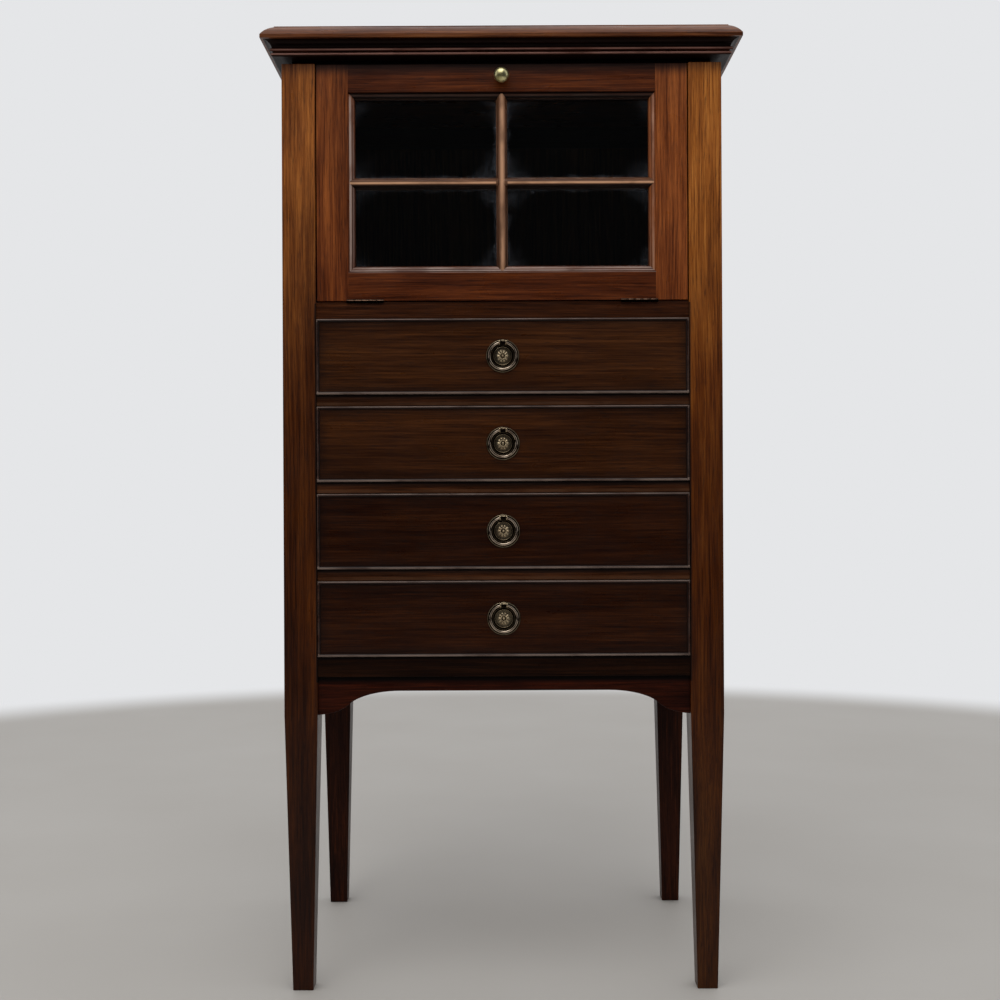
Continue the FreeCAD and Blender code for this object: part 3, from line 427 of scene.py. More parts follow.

# %% Legs
# The tints lighten the legs towards the top: partly faded wood, partly painted light from above. The right
# leg's lighter tones are painted light from the right side.
gold_left = (seen(82, 36, 8), seen(134, 74, 26), seen(176, 106, 42))
gold_right_lit = (seen(92, 44, 8), seen(156, 88, 27), seen(196, 124, 50))
red_brown = (seen(20, 3, 1), seen(38, 13, 4), seen(60, 25, 9))
left_fade_and_light = ((0.13, (0.10, 0.07, 0.05, 1)), (0.39, (0.20, 0.15, 0.08, 1)),
             (0.65, (0.31, 0.25, 0.16, 1)), (0.90, (1, 1, 1, 1)))
right_fade_and_light = ((0.13, (0.12, 0.10, 0.08, 1)), (0.39, (0.20, 0.14, 0.06, 1)),
              (0.65, (0.43, 0.34, 0.20, 1)), (0.90, (1, 1, 1, 1)))
half_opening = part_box("front_leg_right")[0].x
joint_foot, joint_head = 0.3350, 0.7440


def leg_shade(x, y, z):
    """Painted shadow below the cornice, and painted shade in the joint between the leg and the drawers
    beside it.
    """
    beside = 1 - step(abs(x) - half_opening, 0.0006, 0.0021)
    joint = beside * band(z, joint_foot, joint_head) * 0.85
    return (joint + cornice_shadow(z) * 0.5).least(1.0)


for node, tones, seed, fade_and_light in (("front_leg_left", gold_left, 1.3, left_fade_and_light),
                                ("front_leg_right", gold_right_lit, 3.4, right_fade_and_light)):
    dress(node, polished_wood(node, "z", tones, seed, fade_and_light, dullness=0.32, painted_shade=leg_shade))
for node, seed in (("rear_leg_left", 6.2), ("rear_leg_right", 7.9)):
    dress(node, polished_wood(node, "z", red_brown, seed, dullness=0.36, sheen=0.1))
print("the legs stand", round(2 * half_opening / MM), "mm apart")

# %% Side panels
side_tones = (seen(34, 11, 3), seen(66, 29, 9), seen(94, 47, 18))
for node, seed in (("side_panel_left", 9.4), ("side_panel_right", 11.7)):
    dress(node, polished_wood(node, "z", side_tones, seed))
print("the sides are dressed")

# %% [markdown]
# ## The door's frame
#
# A moulding 7.2 mm wide runs round the glass: a round, a hollow, a smaller round and a last edge.
# The stiles show it from the side, the top rail from below and the bottom rail from above, so each
# catches other light. The finish paints that light in: the same strip gets pale painted highlights
# below and beside the glass, and painted shade above it.

# %% Door stiles
stile_gold = (seen(80, 34, 10), seen(134, 69, 27), seen(174, 98, 42))
stile_fade = ((0.76, (0.54, 0.45, 0.36, 1)), (0.90, (0.92, 0.9, 0.9, 1)))
# The next two are the pale colours of painted highlights on the mouldings.
moulding_highlight_grey = seen(168, 148, 138)
moulding_highlight_tan = seen(170, 124, 98)
glass_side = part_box("door_stile_right")[0].x
glass_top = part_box("door_top_rail")[0].z
glass_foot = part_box("door_bottom_rail")[1].z


def stile_highlights(x, y, z):
    """Painted highlights on the outer round and the inner one, as far as the mitre with the top rail."""
    out = abs(x) - glass_side
    rounds = band(out, 0.0036, 0.0061) * 0.85 + band(out, 0.0011, 0.0026) * 0.4
    return rounds * (1 - step(z - glass_top, 0.0007, 0.0067)) * in_front(y)


def stile_shade(x, y, z):
    """Painted shade in the hollow of the moulding and on its last edge before the glass, and painted shadow
    below the cornice.
    """
    out = abs(x) - glass_side
    hollows = band(out, 0.0029, 0.0034) * 0.6 + (1 - step(out, 0.0002, 0.0010)) * 0.75
    return (hollows * in_front(y) + cornice_shadow(z)).least(1.0)


for node, seed, highlight_colour in (("door_stile_left", 14.8, moulding_highlight_grey),
                              ("door_stile_right", 17.7, moulding_highlight_tan)):
    dress(node, polished_wood(node, "z", stile_gold, seed, stile_fade,
                              painted_highlight=(stile_highlights, highlight_colour), painted_shade=stile_shade))
print("the glass is", round(2 * glass_side / MM, 1), "by", round((glass_top - glass_foot) / MM, 1), "mm")

# %% Door rails
door_rail_tones = (seen(50, 17, 2), seen(80, 34, 8), seen(108, 52, 17))


def top_rail_rounds(z, outer, inner):
    """The two rounds of the moulding under the top rail, each with its own share."""
    up = z - glass_top
    return band(up, 0.0031, 0.0052) * outer + band(up, 0.0007, 0.0015) * inner


def top_rail_highlights(x, y, z):
    """Faint painted highlights on both rounds."""
    return top_rail_rounds(z, 0.2, 0.24) * in_front(y)


def top_rail_shade(x, y, z):
    """This moulding faces down, so it is painted in shade: black in its step and paler on its two rounds;
    below the cornice, painted shadow.
    """
    moulding = (1 - step(z - glass_top, 0.0065, 0.0075)) * in_front(y)
    return (moulding * (0.97 - top_rail_rounds(z, 0.36, 0.3)) + cornice_shadow(z)).least(1.0)


def bottom_rail_highlights(x, y, z):
    """The moulding on the bottom rail faces up: painted highlights on both its rounds, and a line at its
    arris.
    """
    down = glass_foot - z
    rounds = band(down, 0.0014, 0.0036) * 0.7 + band(down, 0.0047, 0.0060) * 0.75
    return (rounds + band(down, 0.0073, 0.0080) * 0.5) * in_front(y)


dress("door_top_rail", polished_wood("door_top_rail", "x", door_rail_tones, 21.5,
                                     painted_highlight=(top_rail_highlights, moulding_highlight_grey), painted_shade=top_rail_shade))
dress("door_bottom_rail", polished_wood("door_bottom_rail", "x", door_rail_tones, 23.9,
                                        painted_highlight=(bottom_rail_highlights, moulding_highlight_grey)))
print("the door's frame is dressed")

# %% Case rails
under_door_tones = (seen(36, 12, 1), seen(60, 27, 6), seen(84, 43, 16))
between_tones = (seen(32, 12, 1), seen(57, 27, 8), seen(82, 44, 18))
bottom_rail_tones = (seen(14, 3, 1), seen(25, 9, 2), seen(40, 18, 6))
apron_tones = (seen(24, 4, 1), seen(44, 14, 5), seen(64, 24, 10))
rails_low, rails_high = (corner.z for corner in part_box("drawer_rails"))
rail_tall = 0.012
rail_step = (rails_high - rails_low - rail_tall) / 2


def rail_line(z):
    """Height above the underside of the nearest drawer rail below: fraction((z - lowest) / step)
    times step."""
    steps = (z - rails_low) / rail_step + 1.0
    return z.board.node("ShaderNodeMath", {"operation": "FRACT"}, {0: steps}) * rail_step


def rail_highlight(x, y, z):
    """A painted highlight along the lower edge of each rail."""
    return band(rail_line(z), 0.0006, 0.0040, 0.0008) * 0.5


def rail_shadow(x, y, z):
    """Painted shadow under the bead of the drawer above."""
    return step(rail_line(z), 0.0060, 0.0090) * 0.5 + step(rail_line(z), 0.0094, 0.0106) * 0.4


dress("rail_under_door", polished_wood("rail_under_door", "x", under_door_tones, 26.1))
# The pale colour is a painted highlight.
dress("drawer_rails", polished_wood("drawer_rails", "x", between_tones, 28.3,
                                    painted_highlight=(rail_highlight, seen(92, 60, 38)), painted_shade=rail_shadow))
# Painted shadow under the bead of the lowest drawer, and under the bottom rail on the apron.
dress("bottom_rail", polished_wood("bottom_rail", "x", bottom_rail_tones, 31.7, sheen=0.1,
                                   painted_shade=top_edge_shadow("bottom_rail", 0.0036, 0.9)))
dress("apron", polished_wood("apron", "x", apron_tones, 33.2, sheen=0.08,
                             painted_shade=top_edge_shadow("apron", 0.0085, 0.97)))
print("drawer rails are", round(rail_step / MM, 1), "mm apart")

# %% [markdown]
# ## Cornice and glazing bars
#
# Both are nodes whose strips run two ways: the cornice turns its corners in a mitre, and the upright
# bar crosses the level one. Two finishes would need two nodes, so one finish turns its grain instead,
# by a share that says which strip a point is on.

# %% Top board and cornice
top_tones = (seen(66, 29, 8), seen(104, 56, 25), seen(134, 82, 44))
cornice_tones = (seen(30, 9, 3), seen(54, 22, 10), seen(80, 40, 24))
cornice_low, cornice_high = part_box("cornice_moulding")
mitre = cornice_high.x + cornice_low.y


def along_the_sides(x, y, z):
    """The cornice turns its mitred corner where it is as far out to the side as to the front."""
    return step(abs(x) + y - mitre, -0.0002, 0.0002)


def cove_shade(x, y, z):
    """Painted shade in the hollow between the bead and the top board, and under the bead."""
    up = z - cornice_low.z
    return (step(up, 0.0076, 0.0088) + (1 - step(up, 0.0002, 0.0016))).least(1.0) * 0.85


def cornice_highlights(x, y, z):
    """Painted highlights on the nose of the bead and the edge of the fillet above it."""
    up = z - cornice_low.z
    return band(up, 0.0012, 0.0032) + band(up, 0.0058, 0.0072) * 0.65


dress("top_board", polished_wood("top_board", "x", top_tones, 36.6))
# The pale colour is a painted highlight, and the near-black in the cove is painted shade.
cornice = polished_wood("cornice", "x", cornice_tones, 39.5, sheen=0.1, turned_where=("y", along_the_sides),
                        painted_highlight=(cornice_highlights, seen(150, 108, 96)), painted_shade=cove_shade)
dress("cornice_moulding", cornice)
print("the cornice stands", round(-cornice_low.y / MM + front_plane, 1), "mm out")

# %% Glazing bars
bar_tones = (seen(52, 28, 14), seen(84, 52, 34), seen(118, 80, 56))
panes_low, panes_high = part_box("glass_panes")
bar_level = (panes_low.z + panes_high.z) / 2
bar_highlight_aside = 0.0004  # the upright bar's painted highlight lies a little to one side of its crest


def upright_bar(x, y, z):
    """1 on the upright bar, 0 on the level one."""
    return 1 - step(abs(x), 0.0060, 0.0064)


def bar_highlights(x, y, z):
    """Painted highlights on the crest of the upright bar and the upper half of the level one."""
    upright = upright_bar(x, y, z)
    crest = 1 - step(abs(x - bar_highlight_aside), 0.0, 0.0042)
    upper = band(z - bar_level, -0.0016, 0.0006, 0.0010)
    return (upright * crest * 0.9 + (1 - upright) * upper) * in_front(y)


def bar_shade(x, y, z):
    """Painted shade on the lower half of the level bar."""
    return (1 - upright_bar(x, y, z)) * band(z - bar_level, -0.0064, -0.0026, 0.0008) * in_front(y) * 0.9


# The pale colour is the painted highlight.
bars = polished_wood("glazing_bars", "x", bar_tones, 42.8, turned_where=("z", upright_bar),
                     painted_highlight=(bar_highlights, seen(210, 160, 124)), painted_shade=bar_shade)
dress("glazing_bars", bars)
print("the level bar is", round(bar_level / MM, 1), "mm up")

# %% [markdown]
# ## Drawer fronts
#
# Each front is framed by a thin bead that stands proud of it. Painted shade lies beside the bead,
# and its round carries a painted highlight, most of all along the lower strip that faces up. The lower
# two drawers are painted darker and redder, as shade where the light falls off downwards, so each
# front mixes its tones from two sets.

# %% How far in from a drawer's edge a point lies
drawers = (1, 2, 3, 4)
drawer_tones = (seen(38, 14, 2), seen(62, 31, 8), seen(84, 46, 16))
# The next tones are painted shade: the lower drawers mix towards them as the light falls off downwards.
shaded_drawer_tones = (seen(20, 3, 1), seen(39, 13, 2), seen(56, 25, 6))
bead_tones = (seen(22, 8, 4), seen(40, 18, 10), seen(62, 34, 22))
shaded_share = {1: 0.0, 2: 0.3, 3: 0.85, 4: 0.85}


def drawer_outline(node):
    """The middle height and half height of a drawer's front or bead, and a function that says how far
    in from its outer edge a point lies: the lesser of half width - |x| and half height - |z - middle|."""
    low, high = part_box(node)
    middle = (low.z + high.z) / 2
    half_tall = high.z - middle

    def inward(x, z):
        return (high.x - abs(x)).least(half_tall - abs(z - middle))

    return middle, half_tall, inward


def front_edge_shade(node):
    """A painted shade function for the last centimetre and a half before the bead."""
    inward = drawer_outline(node)[-1]

    def painted_shade(x, y, z):
        return (1 - step(inward(x, z), 0.001, 0.016)) * 0.4

    return painted_shade


def bead_highlight_and_shade(node):
    """The painted highlight and painted shade functions of a bead. Its outer half carries the highlight:
    little on the upright strips, more on the upper and most on the lower. Its inner half, against the
    front, is in painted shade."""
    middle, half_tall, inward = drawer_outline(node)

    def painted_highlight(x, y, z):
        level = step(abs(z - middle), half_tall - 0.0034, half_tall - 0.0032)
        lower = 1 - step(z - middle, -0.001, 0.001)
        share = 0.12 + level * 0.36 + level * lower * 0.3
        wider = lower * 0.0011
        return (1 - step(inward(x, z), 0.0010 + wider, 0.0018 + wider)) * share

    def painted_shade(x, y, z):
        return step(inward(x, z), 0.0018, 0.0024) * 0.7

    return painted_highlight, painted_shade


# %% Drawer fronts and beads
for number in drawers:
    tones = tuple(
        tuple(a + (b - a) * shaded_share[number] for a, b in zip(first, second))
        for first, second in zip(drawer_tones, shaded_drawer_tones)
    )
    node = f"drawer_{number}_front"
    dress(node, polished_wood(node, "x", tones, 50.0 + 3.7 * number, contrast=1.3, cloudy=0.14,
                              painted_shade=front_edge_shade(node)))
    node = f"drawer_{number}_cockbead"
    bead_highlight, bead_shade = bead_highlight_and_shade(node)
    # The pale colour is the painted highlight of the bead's round.
    dress(node, polished_wood(node, "x", bead_tones, 70.0 + number, sheen=0.25, dullness=0.24,
                              painted_highlight=(bead_highlight, seen(134, 116, 106)), painted_shade=bead_shade))
print("drawer fronts are dressed")

# %% [markdown]
# ## Eased edges
#
# No real arris is perfectly sharp: sandpaper and polish leave it rounded by half a millimetre, and that
# thin round is what catches the light. A Bevel modifier rounds the solids' edges without changing
# their meshes. A Weld before it joins their loose triangles, so that it can find the edges.

# %% Weld and bevel
eased_width = 0.0006


def ease(node):
    """Rounds a node's sharp edges."""
    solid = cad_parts[node]
    weld = solid.modifiers.new("weld", "WELD")
    weld.merge_threshold = 0.000005
    bevel = solid.modifiers.new("ease", "BEVEL")
    bevel.width = eased_width
    bevel.segments = 2
    bevel.limit_method = "ANGLE"
    bevel.angle_limit = math.radians(35)
    bevel.harden_normals = True


case_nodes = [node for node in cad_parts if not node.startswith("drawer_") or node == "drawer_rails"]
eased_nodes = [node for node in case_nodes if "glass" not in node and "knob" not in node]
for node in eased_nodes:
    ease(node)
print(len(eased_nodes), "nodes have eased edges")

# %% [markdown]
# ## Wood inside
#
# Nobody polishes the inside of a case. The back, the floor and the runners are stained and left dull,
# and the drawer linings are pale planed wood. They take the same finish as the mahogany, with other
# tones and a duller surface, so that the whole cabinet has one kind of grain.

# %% Unpolished wood
inside_tones = (seen(46, 27, 15), seen(76, 48, 28), seen(102, 68, 42))
lining_tones = (seen(116, 82, 50), seen(158, 118, 76), seen(184, 144, 98))
shadow_tones = (seen(10, 4, 2), seen(18, 8, 4), seen(30, 15, 8))
inside_grain = {
    "back_panel": "z", "back_rail": "x", "cupboard_floor": "x", "runners_and_guides": "y",
    "drawer_stops": "x", "door_stops": "z", "glazing_beads": "x",
}
for number, (node, grain) in enumerate(inside_grain.items()):
    dress(node, polished_wood(node, grain, inside_tones, 80.0 + 2.3 * number, dullness=0.62, sheen=0.15))
# The top frame is near black: painted shadow in the gap under the cornice.
dress("top_frame", polished_wood("top_frame", "x", shadow_tones, 97.0, dullness=0.62, sheen=0.1))
for number in drawers:
    for part, grain in (("sides", "y"), ("back", "x"), ("bottom", "x")):
        node = f"drawer_{number}_{part}"
        dress(node, polished_wood(node, grain, lining_tones, 100.0 + 3.1 * number, dullness=0.55, sheen=0.2))
print("inside wood is dressed")

# %% [markdown]
# ## Brass
#
# The knob and the stays are plain yellow brass, dulled by hands and air. The hinges have gone brown, and are
# painted black from the pin down as shade.
# The ring pulls are darker still: their hollows are nearly black and their crests are rubbed bright.
# How far each point of a pull is rubbed comes from its own shape, so it is worked out with the shape
# and handed to the finish as an attribute called rubbed. On the eye it also carries a painted
# highlight along the top.


# %% Brass finishes
hinge_pin = 0.7462  # height in metres


def brass(name, bright, dull, rough=0.24, rubbed=False, painted_shade=None):
    """Bright metal with dull clouds and fine scratches; hollows go black where rubbed is read."""
    material, board = new_finish(name)
    place = board.node("ShaderNodeTexCoord", output="Object")
    clouds = noise(stretched(place, 90.0, 90.0), 4.0, 0.6)
    scratches = noise(stretched(place, 2600.0, 260.0), 2.0)
    tarnish = step(clouds + (scratches - 0.5) * 0.3, 0.35, 0.75)
    colour = mix(tarnish, bright, dull)
    roughness = tarnish * 0.14 + scratches * 0.08 + (rough - 0.08)
    if rubbed:
        crest = board.node("ShaderNodeAttribute", {"attribute_name": "rubbed"}, output="Fac")
        crest = step(crest + (clouds - 0.5) * 0.3, 0.12, 0.8)
        colour = mix(crest, seen(20, 13, 9), colour)
        roughness = roughness + (1 - crest) * 0.25
    # Painted shade: near-black where the function says.
    if painted_shade:
        colour = mix(painted_shade(place), colour, seen(6, 3, 2))
    relief = {"Strength": 0.1, "Distance": 0.0001, "Height": scratches + clouds}
    bump = board.node("ShaderNodeBump", None, relief)
    inputs = {"Base Color": colour, "Metallic": 1.0, "Roughness": roughness, "Normal": bump}
    shader = board.node("ShaderNodeBsdfPrincipled", None, inputs)
    board.node("ShaderNodeOutputMaterial", None, {"Surface": shader})
    return material


def hinge_shade(place):
    """Painted shade: the hinge is black from its pin down, and keeps its brass colour along the top of its
    knuckle.
    """
    height = place.board.node("ShaderNodeSeparateXYZ", None, {0: place}, 2)
    return 1 - step(height - hinge_pin, 0.0, 0.0014)


print("the hinge pin is", round(hinge_pin / MM, 1), "mm up")


# %% Dress the brasses
plain_brass = brass("brass", seen(206, 188, 138), seen(146, 124, 78))
brown_brass = brass("brown_brass", seen(132, 102, 84), seen(84, 60, 46), 0.26, painted_shade=hinge_shade)
screw_brass = brass("screw_brass", seen(150, 124, 96), seen(86, 66, 48), 0.3)
knob_brass = brass("knob_brass", seen(232, 224, 170), seen(176, 166, 112), 0.33)
antique = brass("antique_brass", seen(198, 180, 148), seen(138, 116, 92), 0.2, rubbed=True)
ring_brass = brass("ring_brass", seen(206, 188, 168), seen(118, 98, 82), 0.14, rubbed=True)
for node in ("stay_guides", "quadrant_stays", "latch_tongue", "door_knob"):
    dress(node, plain_brass)
for node in ("hinge_leaves_fixed", "hinge_leaves_moving"):
    dress(node, brown_brass)
for number in drawers:
    dress(f"drawer_{number}_pull_plate", antique)
    dress(f"drawer_{number}_pull_ring", ring_brass)
print("brass is dressed")

# %% [markdown]
# ## Surfaces from arrays
#
# The knob, the plates and the rings were turned, stamped and bent. Each is a surface that depends on
# two numbers, such as how far along its outline and how far round. A lathe modifier could spin an
# outline too, but petals that rise and fall round a rosette are easier as a formula on a whole grid
# of points.


# %% From grids of points to a piece
def make_piece(name, grids, body, material, replaced=()):
    """Each grid is a closed skin: rows by columns of points in millimetres. Columns always join up
    round; rows join up too where the grid is marked as looped, and otherwise end in a pole. Beside
    each grid stands how far its points are rubbed, 0 to 1."""
    points, faces, crests, first = [], [], [], 0
    for grid, looped, rubbed in grids:
        rows, columns = grid.shape[:2]
        index = np.arange(rows * columns).reshape(rows, columns) + first
        below = index if looped else index[:-1]
        above = np.roll(index, -1, 0) if looped else index[1:]
        quads = [below, np.roll(below, -1, 1), np.roll(above, -1, 1), above]
        faces.append(np.stack(quads, -1).reshape(-1, 4))
        points.append(grid.reshape(-1, 3))
        crests.append(np.broadcast_to(rubbed, (rows, columns)).reshape(-1))
        first += rows * columns
    mesh = bpy.data.meshes.new(name)
    mesh.from_pydata(np.concatenate(points) * MM, [], np.concatenate(faces).tolist())
    mesh.attributes.new("rubbed", "FLOAT", "POINT").data.foreach_set("value", np.concatenate(crests))
    skin = bmesh.new()
    skin.from_mesh(mesh)
    bmesh.ops.remove_doubles(skin, verts=skin.verts, dist=1e-7)
    bmesh.ops.recalc_face_normals(skin, faces=skin.faces)
    skin.to_mesh(mesh)
    skin.free()
    mesh.shade_smooth()
    mesh.materials.append(material)
    piece = bpy.data.objects.new(name, mesh)
    bpy.context.scene.collection.objects.link(piece)
    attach(piece, body)
    if replaced:
        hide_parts(*replaced)
    print(name, "has", len(mesh.polygons), "faces")


# %% Turned surfaces
def round_angles(columns):
    """Angles once round, in radians, without the last one that would meet the first."""
    return np.linspace(0, 2 * np.pi, columns, endpoint=False)


def turned(radius, out, centre, columns=72):
    """A turned surface facing the front: at turn a, centre + (radius cos a, -out, radius sin a).
    radius and out are arrays, one value a row, or a whole grid where the shape changes round it."""
    turn = round_angles(columns)
    whole = [values if values.ndim == 2 else values[:, None] for values in (radius, out)]
    radius, out = (np.broadcast_to(values, (len(values), columns)) for values in whole)
    grid = np.stack([radius * np.cos(turn), -out, radius * np.sin(turn)], -1)
    return grid + np.asarray(centre)


def arc(start, end, count):
    """Angles in radians from start to end, given in degrees."""
    return np.radians(np.linspace(start, end, count))


# %% [markdown]
# ## The knob
#
# A brass knob is turned in one with its spindle: a round head, a waist, a small collar against the
# door. The outline could be a drawn curve, but a turner thinks in rounds and hollows, so it is two
# arcs for the head, a straight waist, a flare, and then the spindle, carried round the axis.


# %% Knob
def knob_outline():
    """The head has radius 8.25 cos a at every angle a, and stands out 9.7 + 6.5 sin a in front of its
    widest line and 9.7 + 4.9 sin a behind it, as far as 62 degrees. Then come a waist of radius 3.1, a
    flare of 3.1 + 2.1 t to the power 2.2, a collar, the spindle and its riveted end."""
    head_radius, head_out = 8.25, 9.7
    waist, flare_wide, flare_power = 3.1, 2.1, 2.2
    crown = arc(90, 0, 22)
    under = arc(0, -62, 12)
    flare = np.linspace(0, 1, 8)
    radius = [
        head_radius * np.cos(crown), head_radius * np.cos(under),
        np.full(3, waist), waist + flare_wide * flare ** flare_power,
        [5.2, 5.2, 5.2, 2.5, 2.5, 3.55, 3.6, 3.6, 3.3, 0.0],
    ]
    out = [
        head_out + 6.5 * np.sin(crown), head_out + 4.9 * np.sin(under),
        np.linspace(4.9, 4.1, 3), 4.0 - 2.5 * flare,
        [1.2, 0.6, 0.03, 0.03, -21.3, -21.3, -21.4, -22.2, -22.45, -22.5],
    ]
    return np.concatenate(radius), np.concatenate(out)


low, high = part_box("door_knob")
knob_centre = (0.0, front_plane, (low.z + high.z) / 2 / MM)
radius, out = knob_outline()
knob_grids = [(turned(radius, out, knob_centre), False, 1.0)]
make_piece("knob", knob_grids, "latch", knob_brass, ["door_knob"])

# %% [markdown]
# ## Ring pulls
#
# Each pull is a thin brass plate stamped from behind: a rolled rim, a raised ring, and a rosette of
# ten petals round a bead. An eye at the top holds the ring. The relief is a height over the plate, a
# sum of rounded ridges, so that it can be read off as one formula.

# %% Plate
plate_radius = 18.0
rim_radius, cup_radius, bead_ring_radius = 17.2, 9.6, 3.1


def ridge(radius, middle, width):
    """A bell shape: 1 at the middle radius, and about a third of that one width away."""
    return np.exp(-((radius - middle) / width) ** 2)


def petal_share(radius, turn):
    """Ten petals between 2.6 and 6.6 mm from the middle: 1 on a crest and 0 between two of them."""
    along = np.sin(np.pi * np.clip((radius - 2.6) / 4.0, 0, 1)) ** 0.6
    return np.abs(np.cos(5 * turn)) ** 1.4 * along


def plate_relief(radius, turn):
    """Height in millimetres: 1 for the sheet, plus the rim, the raised ring of the cup, a low dome
    with the petals on it, a bead in the middle with a small ring round it, and two fine rings in the
    field."""
    dome = 0.9 * np.clip(1 - (radius / 6.6) ** 2, 0, 1)
    bead = 1.9 * np.sqrt(np.clip(1 - (radius / 1.7) ** 2, 0, 1))
    rings = 0.95 * ridge(radius, rim_radius, 0.5) + 0.95 * ridge(radius, cup_radius, 0.55)
    fine_rings = 0.25 * ridge(radius, 11.9, 0.3) + 0.2 * ridge(radius, 13.2, 0.3)
    rosette = 0.8 * petal_share(radius, turn) + 0.45 * ridge(radius, bead_ring_radius, 0.5)
    return 1 + rings + dome + bead + rosette + fine_rings


def plate_rubbed(radius, turn):
    """How bright the brass is rubbed: the rim, the rings, the crests of the petals and the bead, on a
    dome that is a little bright, more so outside the petals."""
    bead = np.clip((1.7 - radius) / 0.3, 0, 1)
    dome = np.where(radius < 6.6, 0.3, 0.56) * np.clip((8.9 - radius) / 0.5, 0, 1)
    rings = 0.66 * ridge(radius, rim_radius + 0.1, 0.4) + 0.8 * ridge(radius, cup_radius + 0.1, 0.45)
    fine_ring = 0.45 * ridge(radius, 11.9, 0.35)
    rosette = 0.65 * ridge(radius, bead_ring_radius, 0.6) + 0.55 * petal_share(radius, turn)
    return np.clip(rings + bead + dome + rosette + fine_ring, 0, 1)


def plate_grid(centre, rows=70, columns=120):
    """Up the back, round the edge and in over the relief to the middle."""
    turn = round_angles(columns)[None, :]
    front = np.linspace(plate_radius - 0.15, 0, rows)
    radius = np.concatenate([[0.0, 9.0, plate_radius - 0.2, plate_radius, plate_radius], front])
    out = np.broadcast_to(np.array([0.0, 0.0, 0.0, 0.15, 0.9])[:, None], (5, columns))
    relief = plate_relief(front[:, None], turn)
    rubbed = np.concatenate([np.full(out.shape, 0.3), plate_rubbed(front[:, None], turn)])
    return turned(radius, np.concatenate([out, relief]), centre, columns), rubbed


print("the bead of the rosette stands", round(float(plate_relief(np.zeros(1), np.zeros(1))[0]), 2), "mm out")


# %% Eye, nut and ring
def eye_grid(centre, columns=48):
    """A short tube along X with a square foot, and a cheek at each end. At turn a its outside is 3 mm
    from the middle in front and on the sides of a rectangle behind, less between the cheeks. Its bore
    is 2.15 mm. Rows go out over one end, across, and back through the bore."""
    turn = round_angles(columns)
    ahead, up = -np.cos(turn), np.sin(turn)
    to_side = 3.0 / np.maximum(np.abs(up), 1e-6)
    to_foot = 2.35 / np.maximum(ahead, 1e-6)
    outside = np.where(ahead > 0, np.minimum(to_side, to_foot), 3.0)
    bore = np.full(columns, 2.15)
    across = np.array([-4.2, -4.2, -3.95, -3.1, -2.8, 2.8, 3.1, 3.95, 4.2, 4.2, 3.95, -3.95])
    share = np.array([0.1, 0.8, 1.0, 1.0, 0.55, 0.55, 1.0, 1.0, 0.8, 0.1, 0.0, 0.0])
    reach = bore + share[:, None] * (outside - bore)
    grid = np.stack([np.broadcast_to(across[:, None], reach.shape), reach * ahead, reach * up], -1)
    cheeks = np.clip((np.abs(across) - 2.9) / 0.2, 0, 1)[:, None]
    # The next share is a painted highlight along the top of the eye.
    lit_top = np.clip((up - 0.35) / 0.4, 0, 1)[None, :]
    return grid + np.asarray(centre), np.maximum(0.75 * cheeks, 0.9 * lit_top)


def nut_grid(centre, columns=48):
    """A square nut: its radius is 3.2 over the larger of |cos a| and |sin a|, held to 4.4 at the
    corners. The last rows are the end of the bolt."""
    turn = round_angles(columns)
    square = np.minimum(3.2 / np.maximum(np.abs(np.cos(turn)), np.abs(np.sin(turn))), 4.4)
    share = np.array([0.0, 1.0, 1.0, 0.93, 0.5, 0.5, 0.42, 0.0])
    radius = share[:, None] * square
    radius[4:7] = np.array([1.75, 1.75, 1.5])[:, None]
    out = np.array([-18.05, -18.05, -20.1, -20.3, -20.3, -20.3, -20.45, -20.5])
    return turned(radius, out, centre, columns)


def ring_grid(centre, radius, rows=96, columns=20):
    """A round wire bent into a ring. The wire is 1.5 mm in radius at the bottom and 1.3 at the top,
    where it turns in the eye."""
    round_ring = round_angles(rows)[:, None]
    round_wire = round_angles(columns)[None, :]
    wire = 1.4 - 0.1 * np.sin(round_ring)
    reach = radius + wire * np.cos(round_wire)
    grid = np.stack([reach * np.cos(round_ring), wire * np.sin(round_wire), reach * np.sin(round_ring)], -1)
    return grid + np.asarray(centre)


# %% The four pulls
ring_radius = 14.5
ring_plane = front_plane - 2.9
for number in drawers:
    low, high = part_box(f"drawer_{number}_pull_plate")
    level = (low.z + high.z) / 2 / MM
    plate_centre = (0.0, front_plane, level)
    stamped, stamped_rubbed = plate_grid(plate_centre)
    eye, eye_rubbed_and_lit = eye_grid((0.0, ring_plane, level + ring_radius))
    bolt = turned(np.array([0.0, 1.75, 1.75, 0.0]), np.array([0.2, 0.2, -18.2, -18.2]), plate_centre, 24)
    plate_grids = [
        (stamped, False, stamped_rubbed),
        (eye, True, eye_rubbed_and_lit),
        (bolt, False, 0.3),
        (nut_grid(plate_centre), False, 0.4),
    ]
    make_piece(f"pull_plate_{number}", plate_grids, f"drawer_{number}", antique,
               [f"drawer_{number}_pull_plate"])
    ring_grids = [(ring_grid((0.0, ring_plane, level), ring_radius), True, 0.75)]
    make_piece(f"pull_ring_{number}", ring_grids, f"ring_{number}", ring_brass,
               [f"drawer_{number}_pull_ring"])

# %% [markdown]
# ## Screws
#
# A screw head is a small turned button with a slot across it. The slot could be cut out, but it is
# simpler as part of the same surface: the height steps down where a point lies near the middle line.
# Each head is laid on its place by three directions, so that one formula serves every face.

# %% Screw heads
slot_turn = 0.6  # radians from one slot to the next


